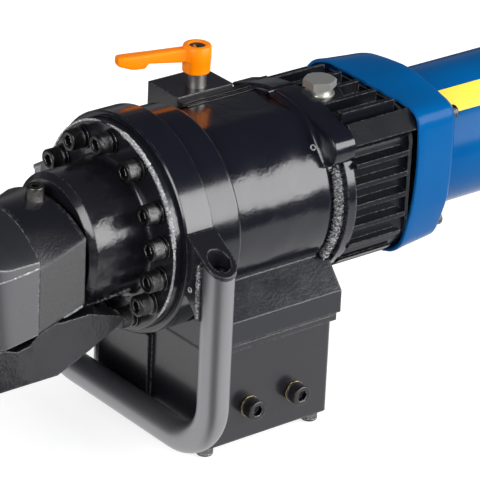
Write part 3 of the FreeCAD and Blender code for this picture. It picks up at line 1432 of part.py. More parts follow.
def make_motor_case():
    """Air baffle, hood, barrel, end cap, stator, brushes and the blank label."""
    baffle = Body("HoodBaffle")
    inset = dims.baffle_inset
    round_size = dims.core_round - inset
    outline = shell_outline(dims.core_half_width - inset, dims.core_half_height - inset, round_size,
                            round_size)
    baffle.pad("YZ_Plane", [outline, (0, 0, dims.baffle_bore)], HOUSING_REAR,
               HOUSING_REAR + dims.baffle_thickness)
    for across, up in HOOD_SCREWS:
        baffle.pocket("YZ_Plane", [(across, up, dims.hood_lug_radius + dims.slide_gap)],
                      HOUSING_REAR, HOUSING_REAR + dims.baffle_thickness)
    node("hood_baffle", baffle)

    hood = Body("MotorHood")
    small = dims.shell_small_round
    large = dims.shell_large_round
    wall = dims.hood_wall
    band_end = HOUSING_REAR + dims.hood_band
    half_y = dims.shell_half_width
    half_z = dims.shell_half_height
    rear_y = dims.hood_rear_half_width
    rear_z = dims.hood_rear_half_height
    hood.pad("YZ_Plane", [shell_outline(half_y, half_z, small, large)], HOUSING_REAR, band_end)
    outer = [
        hood.sketch("YZ_Plane", [shell_outline(half_y, half_z, small, large)], (0, 0, band_end)),
        hood.sketch("YZ_Plane", [shell_outline(rear_y, rear_z, dims.hood_rear_small_round,
                                               dims.hood_rear_large_round)], (0, 0, dims.hood_rear)),
    ]
    hood.loft(outer)
    hollow = shell_outline(half_y - wall, half_z - wall, small - wall, large - wall)
    hood.pocket("YZ_Plane", [hollow], HOUSING_REAR, band_end)
    inner = [
        hood.sketch("YZ_Plane", [hollow], (0, 0, band_end)),
        hood.sketch("YZ_Plane", [shell_outline(rear_y - wall, rear_z - wall,
                                               dims.hood_rear_small_round - wall,
                                               dims.hood_rear_large_round - wall)],
                    (0, 0, dims.hood_rear - wall)),
    ]
    hood.loft(inner, "SubtractiveLoft")
    hood.pad("YZ_Plane", [(*spot, dims.hood_lug_radius) for spot in HOOD_SCREWS],
             HOUSING_REAR, dims.hood_rear)
    hood.pocket("YZ_Plane", [(0, 0, dims.barrel_radius - dims.barrel_wall)],
                dims.hood_rear - wall - dims.overrun, dims.hood_rear)
    hole = dims.hood_screw_radius + dims.thread_gap
    hood.pocket("YZ_Plane", [(*spot, hole) for spot in HOOD_SCREWS], HOUSING_REAR, dims.hood_rear)
    node("motor_hood", hood)

    length = dims.hood_rear - HOUSING_REAR + dims.hood_screw_bite
    screws = [cap_screw((dims.hood_rear, *spot), "x", -1, length, dims.hood_screw_radius,
                        dims.hood_screw_head_radius, dims.hood_screw_head_height, dims.cap_socket_radius,
                        dims.cap_socket_depth) for spot in HOOD_SCREWS]
    node("hood_screws", group(*screws))

    barrel = Body("MotorBarrel")
    bulge_end = dims.hood_rear + dims.barrel_bulge
    radius = dims.barrel_radius
    inside = radius - dims.barrel_wall
    rise = radius - dims.barrel_front_radius
    lip = dims.barrel_rear - dims.barrel_wall
    bulge = bow_radius(dims.barrel_bulge, rise)
    barrel.turn([[
        (dims.hood_rear, inside), (dims.hood_rear, dims.barrel_front_radius),
        (bulge_end, radius, -bulge), (dims.barrel_rear, radius),
        (dims.barrel_rear, dims.shaft_hole_radius), (lip, dims.shaft_hole_radius), (lip, inside),
    ]])
    cap_hole = dims.brush_cap_radius + dims.fit_gap
    barrel.pocket("XZ_Plane", [(dims.brush_place, 0, cap_hole)], -(radius + dims.overrun),
                  radius + dims.overrun)
    node("motor_barrel", barrel)

    end_cap = Body("MotorEndCap")
    bearing = dims.rear_bearing_radius + dims.fit_gap
    bearing_end = dims.barrel_rear + dims.rear_bearing_width
    end_cap.turn([[
        (dims.barrel_rear, bearing), (dims.barrel_rear, radius), (CAP_REAR - dims.cap_bevel, radius),
        (CAP_REAR, dims.cap_rear_radius), (CAP_REAR, 0), (bearing_end, 0), (bearing_end, bearing),
    ]])
    node("motor_end_cap", end_cap)

    node("stator", ring(dims.stator_outer_radius, dims.stator_inner_radius, dims.rotor_length,
                        (dims.rotor_start, 0, 0)))

    film = radius + dims.fit_gap
    shell = ring(film + dims.label_thickness, film, dims.label_length, (dims.label_front, 0, 0))
    wide = radius + dims.overrun
    low = turned(box((dims.label_front, -wide, 0), (dims.label_front + dims.label_length, 0, wide)),
                 -LABEL_START_ANGLE)
    high = turned(box((dims.label_front, -wide, -wide), (dims.label_front + dims.label_length, 0, 0)),
                  -(LABEL_START_ANGLE + LABEL_SPAN_ANGLE))
    node("label_plate", common(common(shell, low), high))

    brushes = []
    caps = []
    half = dims.brush_width / 2
    inner = dims.commutator_radius + dims.slide_gap
    outer = radius + dims.brush_cap_rise
    guide = inner + dims.brush_length / 2
    for side in (1, -1):
        low_y = inner if side > 0 else -(inner + dims.brush_length)
        brushes.append(box((dims.brush_place - half, low_y, -half),
                           (dims.brush_place + half, low_y + dims.brush_length, half)))
        start = guide if side > 0 else -outer
        holder = rod(dims.brush_cap_radius, outer - guide, (dims.brush_place, start, 0), "y")
        cavity_half = half + dims.fit_gap
        cavity_low = guide if side > 0 else -(inner + dims.brush_length)
        cavity = box((dims.brush_place - cavity_half, cavity_low, -cavity_half),
                     (dims.brush_place + cavity_half, cavity_low + dims.brush_length / 2, cavity_half))
        slot_low = outer - dims.brush_cap_rise if side > 0 else -outer
        slot = box((dims.brush_place - dims.brush_cap_radius, slot_low, -dims.brush_slot_width / 2),
                   (dims.brush_place + dims.brush_cap_radius, slot_low + dims.brush_cap_rise,
                    dims.brush_slot_width / 2))
        caps.append(cut(holder, cavity, slot))
    node("brushes", group(*brushes))
    node("brush_caps", group(*caps))


def make_rear_handle():
    """Rear D handle in two halves, with switch, trigger, lock button and cord gland."""
    front = CAP_REAR
    rear = dims.grip_rear
    corner = dims.grip_corner
    half = dims.grip_half_width
    top_rear = dims.grip_rear_top
    low_rear = dims.grip_rear_bottom
    window_front = front + dims.grip_bar
    window_rear = GRIP_FRONT
    window_top = dims.grip_front_top - dims.grip_bar
    window_low = dims.grip_bar - dims.grip_front_bottom
    switch_front = rear - dims.switch_wall - dims.switch_length
    pocket_rear = rear - dims.switch_wall
    trigger_low = dims.switch_floor
    trigger_top = trigger_low + dims.trigger_height
    switch_top = dims.switch_floor + dims.switch_height
    lock_x = GRIP_FRONT + dims.grip_depth / 2
    screws = [
        (front + dims.grip_bar / 2, dims.grip_front_top - dims.grip_bar / 2),
        (front + dims.grip_bar / 2, dims.grip_bar / 2 - dims.grip_front_bottom),
        (window_rear, top_rear - dims.grip_bar),
        (window_rear, dims.grip_bar - low_rear),
    ]
    gland_floor = -(low_rear + dims.gland_length - dims.gland_depth)
    outline = [
        (front, -dims.grip_front_bottom), (window_rear, -low_rear), (rear - corner, -low_rear),
        (rear, corner - low_rear, corner), (rear, top_rear - corner), (rear - corner, top_rear, corner),
        (window_rear, top_rear), (front, dims.grip_front_top),
    ]
    window = rectangle(window_front, window_rear, window_low, window_top)
    slide = dims.slide_gap
    for label, low, high in (("handle_left", 0, half), ("handle_right", -half, 0)):
        outer = half if low == 0 else -half
        body = Body(label.title().replace("_", ""))
        body.pad("XZ_Plane", [outline, window], low, high)
        body.round(dims.grip_fillet, lambda edge, outer=outer: is_at(edge, "y", outer))
        depth = dims.switch_half_width
        body.pocket("XZ_Plane", [rectangle(switch_front, pocket_rear, dims.switch_floor, switch_top)],
                    max_size(low, -depth), min_size(high, depth))
        depth = dims.trigger_half_width + slide
        body.pocket("XZ_Plane", [rectangle(window_rear, switch_front, trigger_low - slide,
                                           trigger_top + slide)],
                    max_size(low, -depth), min_size(high, depth))
        body.groove([rectangle(0, dims.gland_radius + dims.fit_gap, gland_floor,
                               dims.gland_depth - low_rear)], "z", (rear - corner - dims.gland_radius, 0, 0))
        holes = [(*spot, dims.grip_screw_radius + dims.thread_gap) for spot in screws]
        body.pocket("XZ_Plane", holes, low, high)
        if low != 0:
            heads = [(*spot, dims.grip_screw_head_radius + dims.thread_gap) for spot in screws]
            body.pocket("XZ_Plane", heads, low, low + dims.grip_screw_head_height)
            button = [(lock_x, -dims.lock_drop, dims.lock_radius + dims.fit_gap)]
            body.pocket("XZ_Plane", button, low, dims.lock_travel + dims.lock_length - half)
        node(label, body)
    node("handle_screws", group(*[cap_screw(
        (spot[0], dims.grip_screw_head_height - half, spot[1]), "y", 1, dims.grip_screw_length,
        dims.grip_screw_radius, dims.grip_screw_head_radius, dims.grip_screw_head_height,
        dims.grip_screw_radius, dims.grip_screw_head_height / 2) for spot in screws]))
    side = dims.switch_half_width - slide
    node("switch_body", group(box((switch_front + dims.trigger_travel, -side, trigger_low + slide),
                                  (pocket_rear - slide, side, switch_top - slide))))
    trigger = Body("Trigger")
    trigger.pad("XY_Plane", [rectangle(
        window_rear - dims.trigger_proud, switch_front - slide, -dims.trigger_half_width,
        dims.trigger_half_width)], trigger_low, trigger_top)
    trigger.round(dims.trigger_bevel,
                  lambda edge: is_at(edge, "x", window_rear - dims.trigger_proud))
    node("trigger", trigger)
    node("lock_button", group(rod(dims.lock_radius, dims.lock_length,
                                  (lock_x, -(half + dims.lock_proud), -dims.lock_drop), "y")))
    node("cord_gland", ring(dims.gland_radius, dims.gland_bore, dims.gland_length,
                            (rear - corner - dims.gland_radius, 0, gland_floor), "z"))


def check_and_write():
    """Refuse a failed object or shape, then write one file for each sub-part."""
    DOC.recompute()
    failed = [item.Label for item in DOC.Objects if {"Invalid", "Error"} & set(item.State)]
    for thing in NODES:
        shape = thing.Shape
        if shape.isNull() or not shape.isValid() or not shape.Solids:
            failed.append(thing.Label)
    if failed:
        raise RuntimeError("failed: " + ", ".join(failed))
    os.makedirs("parts", exist_ok=True)
    for thing in NODES:
        thing.Shape.exportStep(f"parts/{thing.Label}.step")
    whole = Part.makeCompound([thing.Shape for thing in NODES]).BoundBox
    print(len(NODES), "sub-parts", whole)


make_front_ring()
make_main_casting()
make_head_frame()
make_ram()
make_rod_and_piston()
make_rollers()
make_flange_fasteners()
make_carry_handle()
make_tank()
make_clamp()
make_pump_housing()
make_pump()
make_motor_rotor()
make_motor_case()
make_rear_handle()
check_and_write()
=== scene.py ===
"""Dresses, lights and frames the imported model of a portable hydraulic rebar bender."""
import logging
import math
from dataclasses import dataclass
from enum import Enum

import bpy
import numpy as np
from mathutils import Matrix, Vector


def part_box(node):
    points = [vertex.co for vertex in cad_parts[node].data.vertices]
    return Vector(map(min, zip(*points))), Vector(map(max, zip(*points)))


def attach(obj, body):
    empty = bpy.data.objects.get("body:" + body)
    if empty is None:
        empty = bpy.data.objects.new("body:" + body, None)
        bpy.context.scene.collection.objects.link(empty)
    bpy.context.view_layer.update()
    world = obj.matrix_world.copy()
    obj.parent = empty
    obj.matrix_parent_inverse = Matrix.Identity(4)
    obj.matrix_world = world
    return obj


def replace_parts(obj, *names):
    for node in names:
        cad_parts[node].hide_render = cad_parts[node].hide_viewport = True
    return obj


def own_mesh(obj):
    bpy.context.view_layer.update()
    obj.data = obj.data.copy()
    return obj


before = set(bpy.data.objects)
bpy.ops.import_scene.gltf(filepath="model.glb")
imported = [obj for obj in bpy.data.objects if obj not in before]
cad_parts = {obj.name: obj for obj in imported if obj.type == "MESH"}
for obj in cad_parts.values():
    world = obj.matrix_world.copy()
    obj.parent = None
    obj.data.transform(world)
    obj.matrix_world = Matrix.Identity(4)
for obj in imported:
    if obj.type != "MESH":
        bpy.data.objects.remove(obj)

LOG = logging.getLogger("rebar_bender")
Colour = tuple[float, float, float]
Point = tuple[float, float, float]

# Sizes and places are in millimetres about the tool's own axis, x to the rear from the front
# ring's face, where nothing else is said. This is where it lies in the part's frame, in metres.
AXIS = np.array([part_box("front_ring")[0][0], 0.0, 0.1775])
MM = 0.001
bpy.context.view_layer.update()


# ---------------------------------------------------------------- meshes

@dataclass
class Shell:
    """A mesh in the making: points in millimetres about the tool axis, and its faces."""

    points: np.ndarray
    quads: np.ndarray

    def __add__(self, other: "Shell") -> "Shell":
        """Both shells as one."""
        return Shell(np.vstack([self.points, other.points]),
                     np.vstack([self.quads, other.quads + len(self.points)]))

    def volume(self) -> float:
        """Sum of the faces' cones to the origin, above nought where the faces point outwards."""
        a, b, c, d = (self.points[self.quads[:, k]] for k in range(4))
        return float(np.einsum("ij,ij->", a, np.cross(b, c)) + np.einsum("ij,ij->", a, np.cross(c, d))) / 6

    def outward(self) -> "Shell":
        """The closed shell with its faces turned outwards."""
        return self if self.volume() > 0 else Shell(self.points, self.quads[:, ::-1])


def grid(points: np.ndarray, wrap_rows: bool = False, wrap_columns: bool = False) -> Shell:
    """Joins a grid of points into faces, each between two rows and two columns.

    Args:
        points: Array of rows by columns by three.
        wrap_rows: Whether the last row meets the first.
        wrap_columns: Whether the last column meets the first.

    Returns:
        The shell.
    """
    rows, columns = points.shape[:2]
    row, column = np.meshgrid(np.arange(rows - (not wrap_rows)), np.arange(columns - (not wrap_columns)),
                              indexing="ij")
    below, beside = (row + 1) % rows, (column + 1) % columns
    corners = [row * columns + column, row * columns + beside, below * columns + beside, below * columns + column]
    return Shell(points.reshape(-1, 3), np.stack(corners, -1).reshape(-1, 4))


def turns(count: int) -> np.ndarray:
    """Evenly spaced angles of a whole turn."""
    return np.linspace(0, 2 * np.pi, count, endpoint=False)


def away(turn: np.ndarray) -> np.ndarray:
    """Directions away from the tool axis, at angles measured from the side that the camera sees upwards."""
    return np.stack([0 * turn, -np.cos(turn), np.sin(turn)], -1)


def profile(rows: list[tuple[float, float]], columns: int) -> tuple[np.ndarray, np.ndarray]:
    """Places along an axis and, for each, its radius at every angle, from rows of (place, radius)."""
    table = np.array(rows, float)
    return table[:, 0], np.repeat(table[:, 1:], columns, 1)


def joined(shells: list[Shell]) -> Shell:
    """Several shells as one."""
    total = shells[0]
    for shell in shells[1:]:
        total = total + shell
    return total


def frame_of(axis: np.ndarray) -> tuple[np.ndarray, np.ndarray, np.ndarray]:
    """An axis with two directions square to it."""
    axis = np.asarray(axis, float) / np.linalg.norm(axis)
    helper = np.array([0.0, 0.0, 1.0]) if abs(axis[2]) < 0.9 else np.array([1.0, 0.0, 0.0])
    across = np.cross(helper, axis)
    across /= np.linalg.norm(across)
    return axis, across, np.cross(axis, across)


def lathe(along: np.ndarray, radius: np.ndarray, start: Point, axis: Point) -> Shell:
    """Turns a profile about an axis: each point is start + along * axis + radius * (cos t, sin t).

    Args:
        along: Distance of each row along the axis.
        radius: Radius of each row, or of each row and column where it isn't round.
        start: Where the axis begins.
        axis: Direction of the axis.

    Returns:
        A shell that is closed where its first and last radius are nought.
    """
    axis, across, upward = frame_of(np.array(axis))
    turn = turns(radius.shape[1])[:, None]
    round_ = np.cos(turn) * across + np.sin(turn) * upward
    points = np.array(start) + along[:, None, None] * axis + radius[:, :, None] * round_
    return grid(points, wrap_columns=True).outward()


def skinned(sections: np.ndarray) -> Shell:
    """Joins closed sections in a row into a solid, whose ends close on the middle of the first and the last.

    Args:
        sections: Array of sections by points by three.

    Returns:
        A closed shell.
    """
    ends = [np.broadcast_to(sections[k].mean(0), sections[k].shape)[None] for k in (0, -1)]
    return grid(np.concatenate([ends[0], sections, ends[1]]), wrap_columns=True).outward()


def flowing(corners: list, count: int, spread: int) -> np.ndarray:
    """Even points along a line of corners, rounded by averaging each point with its neighbours three times.

    Args:
        corners: Points of two or three numbers.
        count: Number of points to return.
        spread: How many neighbours to either side are averaged.

    Returns:
        Array of count points.
    """
    corners = np.asarray(corners, float)
    far = np.concatenate([[0.0], np.cumsum(np.linalg.norm(np.diff(corners, axis=0), axis=1))])
    line = np.stack([np.interp(np.linspace(0, far[-1], count), far, column) for column in corners.T], 1)
    for _ in range(3):
        wide = np.pad(line, ((spread + 1, spread), (0, 0)), mode="edge")
        total = np.cumsum(wide, 0)
        line = (total[2 * spread + 1:] - total[:-2 * spread - 1]) / (2 * spread + 1)
    return line


def soft_square(columns: int, power: float) -> np.ndarray:
    """A rounded square of half-width one: each of cos and sin raised to 2 / power, its sign kept."""
    turn = turns(columns)
    pair = np.stack([np.cos(turn), np.sin(turn)], 1)
    return np.sign(pair) * np.abs(pair) ** (2 / power)


def hexagon(columns: int, flat_radius: float) -> np.ndarray:
    """Radius of a hexagon at evenly spaced angles: half its width over the flats / cos of the angle from a flat."""
    sixth = np.pi / 3
    return flat_radius / np.cos(turns(columns) % sixth - sixth / 2)


def ripple(count: int, seed: int, waves: int) -> np.ndarray:
    """Uneven lumps round a loop: a sum of sines whose numbers of waves and phases come from a seed.

    Args:
        count: Number of points.
        seed: Seed of the phases.
        waves: Rough number of lumps in the loop.

    Returns:
        Values of about -1 to 1.
    """
    draw = np.random.default_rng(seed)
    orders = np.maximum(1, np.round(waves * draw.uniform(0.4, 1.7, 9)))
    phases = draw.uniform(0, 2 * np.pi, 9)
    return np.sin(turns(count)[:, None] * orders + phases).sum(1) / 3


def bead(path: np.ndarray, outward: np.ndarray, radius: float, seed: int, waves: int, loop: bool,
         columns: int = 12, uneven: float = 0.3, flat: float = 1.0) -> Shell:
    """A weld or paint bead: a circle carried along a path, whose radius swells with ripple().

    Args:
        path: Points of the path.
        outward: Direction away from the seat at each point.
        radius: Middle radius of the bead.
        seed: Seed of its lumps.
        waves: Rough number of lumps.
        loop: Whether the path closes on itself.
        columns: Points round the bead.
        uneven: Share by which the radius swells.
        flat: Height over width.

    Returns:
        A closed shell.
    """
    ahead = np.roll(path, -1, 0) - np.roll(path, 1, 0)
    if not loop:
        ahead[0], ahead[-1] = path[1] - path[0], path[-1] - path[-2]
    ahead /= np.linalg.norm(ahead, axis=1, keepdims=True)
    side = np.cross(ahead, outward)
    count, turn = len(path), turns(columns)
    swell = np.stack([ripple(count, seed + k % 3, waves) for k in range(columns)], 1)
    size = radius * (1 + uneven * (0.7 * swell + 0.5 * ripple(count, seed + 7, waves * 3)[:, None]))
    if not loop:
        step = np.linspace(0, 1, count)
        size = size * np.clip(np.minimum(step, 1 - step) * 14, 0, 1)[:, None] ** 0.5
    points = (path[:, None] + (size * np.cos(turn))[:, :, None] * side[:, None]
              + flat * (size * np.sin(turn))[:, :, None] * outward[:, None])
    return grid(points, wrap_rows=loop, wrap_columns=True).outward()


def arc(radius: float, first: float, last: float, along: float, count: int) -> tuple[np.ndarray, np.ndarray]:
    """Points round the tool axis, and the directions away from it there.

    Args:
        radius: Distance from the axis.
        first: First angle in degrees, from the side that the camera sees upwards.
        last: Last angle in degrees.
        along: Place along the axis.
        count: Number of points.

    Returns:
        Points and directions, each of count by three.
    """
    out = away(np.radians(np.linspace(first, last, count)))
    return out * radius + np.array([along, 0, 0]), out


def placed(name: str, data: bpy.types.ID) -> bpy.types.Object:
    """A new object in the scene that holds a mesh, a lamp or a camera."""
    made = bpy.data.objects.new(name, data)
    bpy.context.scene.collection.objects.link(made)
    return made


def piece(name: str, shell: Shell, finish: "Finish", body: str = "tool_body",
          smooth: float = 38.0) -> bpy.types.Object:
    """Makes a shell into a piece of the scene.

    Points that coincide are merged, so that seams and poles close, and faces without area go.

    Args:
        name: Name of the piece.
        shell: Its mesh, in millimetres about the tool axis.
        finish: What it is dressed in.
        body: Body of the model that it moves with.
        smooth: Angle in degrees up to which edges are shaded round.

    Returns:
        The object, at the origin, with its place in its mesh.
    """
    keys = np.round(shell.points, 4)
    _, first, where = np.unique(keys, axis=0, return_index=True, return_inverse=True)
    points = shell.points[first] * MM + AXIS
    quads = where.reshape(-1)[shell.quads]
    same = quads == np.roll(quads, -1, 1)
    whole = quads[~same.any(1)]
    bent = [tuple(dict.fromkeys(quad)) for quad in quads[same.any(1)].tolist()]
    faces = whole.tolist() + [face for face in bent if len(face) > 2]
    mesh = bpy.data.meshes.new(name)
    mesh.from_pydata(points.tolist(), [], faces)
    mesh.validate()
    mesh.shade_smooth()
    mesh.set_sharp_from_angle(angle=math.radians(smooth))
    made = placed(name, mesh)
    mesh.materials.append(finish.material())
    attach(made, body)
    LOG.info("%s: %d faces on %s", name, len(faces), body)
    return made


# ---------------------------------------------------------------- shader sums

class Signal:
    """A socket of a material that can stand in a Python sum."""

    def __init__(self, bench: "Bench", socket: bpy.types.NodeSocket) -> None:
        """Keeps the socket and the bench that it is on."""
        self.bench = bench
        self.socket = socket

    def _sum(self, operation: str, first: "Signal | float", second: "Signal | float") -> "Signal":
        """One Math node."""
        return self.bench.node("ShaderNodeMath", {"operation": operation}, [first, second])

    def __add__(self, other: "Signal | float") -> "Signal":
        """Sum."""
        return self._sum("ADD", self, other)

    __radd__ = __add__

    def __sub__(self, other: "Signal | float") -> "Signal":
        """Difference."""
        return self._sum("SUBTRACT", self, other)

    def __rsub__(self, other: float) -> "Signal":
        """Difference from a number."""
        return self._sum("SUBTRACT", other, self)

    def __mul__(self, other: "Signal | float") -> "Signal":
        """Product."""
        return self._sum("MULTIPLY", self, other)

    __rmul__ = __mul__

    def size(self) -> "Signal":
        """The value without its sign."""
        return self.bench.node("ShaderNodeMath", {"operation": "ABSOLUTE"}, [self])

    def ramp(self, low: float, high: float) -> "Signal":
        """0 below low, 1 above high, and a smooth slope between; low may be the larger."""
        return self.bench.node("ShaderNodeMapRange", {"interpolation_type": "SMOOTHSTEP"},
                               {"Value": self, "From Min": low, "From Max": high})


class Bench:
    """The nodes of one material, or of the world."""

    def __init__(self, owner: bpy.types.ID, place: str = "Object") -> None:
        """Opens the nodes.

        Args:
            owner: A new material or world.
            place: Which texture coordinate its patterns go by.
        """
        owner.use_nodes = True
        self.owner = owner
        self.tree = owner.node_tree
        self.shader = self.tree.nodes.get("Principled BSDF")
        self.place = self.node("ShaderNodeTexCoord", {}, {}, place)

    def node(self, kind: str, settings: dict, values: "dict | list", output: int | str = 0) -> Signal:
        """Adds one node.

        Args:
            kind: Type of the node.
            settings: Its settings, set before its sockets; "stops" fills a colour ramp.
            values: Numbers, colours or signals by socket.
            output: Which output to return.

        Returns:
            The output as a signal.
        """
        made = self.tree.nodes.new(kind)
        for name, setting in settings.items():
            if name == "stops":
                ramp = made.color_ramp
                while len(ramp.elements) < len(setting):
                    ramp.elements.new(0.5)
                for element, (position, colour) in zip(ramp.elements, setting):
                    element.position = position
                    element.color = (*colour, 1.0)
            else:
                setattr(made, name, setting)
        for slot, value in values.items() if isinstance(values, dict) else enumerate(values):
            if isinstance(value, Signal):
                self.tree.links.new(value.socket, made.inputs[slot])
            else:
                made.inputs[slot].default_value = value
        return Signal(self, made.outputs[output])

    def stretched(self, factors: Point) -> Signal:
        """Object coordinates multiplied by three factors."""
        return self.node("ShaderNodeVectorMath", {"operation": "MULTIPLY"}, [self.place, factors], "Vector")

    def noise(self, scale: float, detail: float = 2.0, rough: float = 0.5, at: Signal | None = None) -> Signal:
        """Cloudy pattern of about 0.3 to 0.7, with scale lumps to the metre."""
        return self.node("ShaderNodeTexNoise", {}, {
            "Vector": at or self.place, "Scale": scale, "Detail": detail, "Roughness": rough}, "Fac")

    def cells(self, scale: float) -> Signal:
        """Distance to the nearest of scattered points, with scale points to the metre."""
        return self.node("ShaderNodeTexVoronoi", {}, {"Vector": self.place, "Scale": scale}, "Distance")

    def ray(self, kind: str) -> Signal:
        """1 for rays of one kind, such as Is Camera Ray, and 0 for others."""
        return self.node("ShaderNodeLightPath", {}, {}, kind)

    def part(self, vector: Signal, index: int) -> Signal:
        """The x, y or z of a vector."""
        return self.node("ShaderNodeSeparateXYZ", {}, [vector], index)

    def dot(self, first: Signal, second: "Signal | Point") -> Signal:
        """Dot product of two vectors."""
        return self.node("ShaderNodeVectorMath", {"operation": "DOT_PRODUCT"}, [first, second], "Value")

    def plain(self) -> Signal:
        """The normal without bumps."""
        return self.node("ShaderNodeNewGeometry", {}, {}, "Normal")

    def mix(self, share: Signal | float, first: "Colour | Signal", second: "Colour | Signal") -> Signal:
        """The first colour turning into the second as share goes from 0 to 1."""
        full = [value if isinstance(value, Signal) else (*value, 1.0) for value in (first, second)]
        return self.node("ShaderNodeMix", {"data_type": "RGBA"}, {0: share, 6: full[0], 7: full[1]}, 2)

    def facing(self, part: int) -> Signal:
        """How much the surface faces along x, y or z, from 0 to 1 either way."""
        return self.part(self.plain(), part).size()

    def rounded(self, radius: float) -> Signal:
        """The normal as if edges had this radius, in metres."""
        return self.node("ShaderNodeBevel", {"samples": 6}, {"Radius": radius}, "Normal")

    def edges(self, radius: float) -> Signal:
        """1 along edges within about this radius and 0 elsewhere: one less the cosine to the rounded normal."""
        return (1.0 - self.dot(self.rounded(radius), self.plain())).ramp(0.01, 0.12)

    def bump(self, height: Signal, strength: float, depth: float, normal: Signal | None = None) -> Signal:
        """The normal of a surface whose height goes up by depth metres as height goes from 0 to 1."""
        values = {"Height": height, "Strength": strength, "Distance": depth}
        if normal:
            values["Normal"] = normal
        return self.node("ShaderNodeBump", {}, values, "Normal")

    def shade(self, constants: dict, signals: dict) -> bpy.types.Material:
        """Sets the shader's sockets.

        Args:
            constants: Numbers and colours that are the same all over.
            signals: What changes over the surface.

        Returns:
            The material.
        """
        for name, value in constants.items():
            self.shader.inputs[name].default_value = value
        for name, signal in signals.items():
            self.tree.links.new(signal.socket, self.shader.inputs[name])
        return self.owner


# ---------------------------------------------------------------- finishes

class Skin(Enum):
    """How a painted surface was made before the paint went on."""

    MACHINED = "machined"
    PEEL = "orange peel"
    CAST = "rough casting"
    WELD = "weld"
    SMOOTH = "smooth"
    LUMPY = "lumpy"


class Grain(Enum):
    """Which way fine tool marks run."""

    AROUND_X = (1.0, 0.02, 0.02)
    AROUND_Z = (0.02, 0.02, 1.0)
    NONE = (1.0, 1.0, 1.0)


@dataclass(frozen=True)
class Finish:
    """What all finishes have: a name, a colour, a roughness and softened edges."""

    name: str
    colour: Colour
    rough: float = 0.3
    edge: float = 0.0007

    def material(self) -> bpy.types.Material:
        """The finish's material, built at its first use."""
        return bpy.data.materials.get(self.name) or self.build(Bench(bpy.data.materials.new(self.name)))

    def build(self, bench: Bench) -> bpy.types.Material:
        """Builds the material; each kind of finish has its own."""
        raise NotImplementedError


@dataclass(frozen=True)
class Enamel(Finish):
    """Black enamel over iron: glossy, with orange peel, thin dust and paler worn edges."""

    skin: Skin = Skin.PEEL
    coat: float = 0.25
    wear: float = 0.35
    bare: Colour = (0.17, 0.17, 0.18)
    shine: float = 0.5
    # side: colour that faces turned along y move towards; a painted reflection, sides painted paler for the light they
    # mirror.
    side: Colour | None = None
    deep: float = 1.0

    def relief(self, bench: Bench) -> tuple[Signal, float, Signal | float]:
        """Height, its depth in metres and added roughness; a rough casting is rough only on its sides."""
        peel = bench.noise(420, 3, 0.5)
        waves = bench.noise(90, 2, 0.5)
        if self.skin is Skin.CAST:
            side = bench.facing(1).ramp(0.3, 0.6)
            return (bench.noise(420, 5, 0.7) + bench.noise(900, 2) * 0.4) * side + waves * 0.2, 0.0005, side * 0.2
        if self.skin is Skin.WELD:
            return bench.noise(620, 5, 0.75) + waves * 0.5, 0.0011, 0.0
        if self.skin is Skin.MACHINED:
            turned = bench.noise(3000, 2, 0.5, bench.stretched(Grain.AROUND_X.value))
            return turned * 0.15 + peel * 0.3, 0.0001, 0.0
        if self.skin is Skin.LUMPY:
            return (peel * 0.8 + waves * 1.5) * bench.noise(26, 2).ramp(0.42, 0.58) + peel * 0.1, 0.00045, 0.0
        if self.skin is Skin.SMOOTH:
            return peel * 0.3 + waves * 0.5, 0.00005, 0.0
        return peel * 0.8 + waves * 0.15, 0.00006, 0.0

    def build(self, bench: Bench) -> bpy.types.Material:
        """Height is fine peel plus broad waves, or coarse sand skin; dust is a high threshold of cells."""
        height, depth, rougher = self.relief(bench)
        worn = bench.edges(self.edge * 1.6) * bench.noise(300, 4, 0.7).ramp(0.42, 0.6)
        dust = bench.cells(260).ramp(0.05, 0.02) * bench.noise(35, 2).ramp(0.56, 0.72)
        tone = bench.mix(bench.noise(22, 3), self.colour, tuple(channel * 1.5 for channel in self.colour))
        # Faces turned along y are painted paler with the side colour: painted reflection.
        if self.side:
            tone = bench.mix(bench.facing(1).ramp(0.7, 0.95), tone, self.side)
        # Weld skins are speckled with the bare colour; the specks are painted glints.
        if self.skin is Skin.WELD:
            tone = bench.mix(bench.noise(520, 4, 0.8).ramp(0.47, 0.6), tone, self.bare)
        colour = bench.mix(worn * self.wear + dust * 0.12, tone, self.bare)
        rough = bench.noise(60, 4, 0.6) * 0.12 + (self.rough - 0.06) + dust * 0.2 + rougher
        normal = bench.bump(height, 1.0, depth * self.deep, bench.rounded(self.edge))
        return bench.shade({"Coat Weight": self.coat, "Coat Roughness": 0.1, "IOR": 1.5,
                            "Specular IOR Level": self.shine},
                           {"Base Color": colour, "Roughness": rough, "Normal": normal})


@dataclass(frozen=True)
class Steel(Finish):
    """Bare, blackened or plated metal with tool marks and brighter edges."""

    bright: Colour = (0.6, 0.6, 0.6)
    wear: float = 0.8
    grain: Grain = Grain.NONE
    marks: float = 0.25
    metal: float = 1.0

    def build(self, bench: Bench) -> bpy.types.Material:
        """Tool marks are noise squeezed along one direction; edges turn to the bright colour."""
        marks = bench.noise(1800, 3, 0.6, bench.stretched(self.grain.value))
        smear = bench.noise(45, 4, 0.65)
        worn = bench.edges(self.edge * 1.3) * bench.noise(500, 3, 0.6).ramp(0.3, 0.5)
        tone = bench.mix(smear.ramp(0.3, 0.75), tuple(channel * 0.72 for channel in self.colour), self.colour)
        colour = bench.mix(worn * self.wear, tone, self.bright)
        rough = marks * 0.16 + smear * 0.14 + (self.rough - 0.15)
        normal = bench.bump(marks, self.marks, 0.00012, bench.rounded(self.edge))
        return bench.shade({"Metallic": self.metal}, {"Base Color": colour, "Roughness": rough, "Normal": normal})


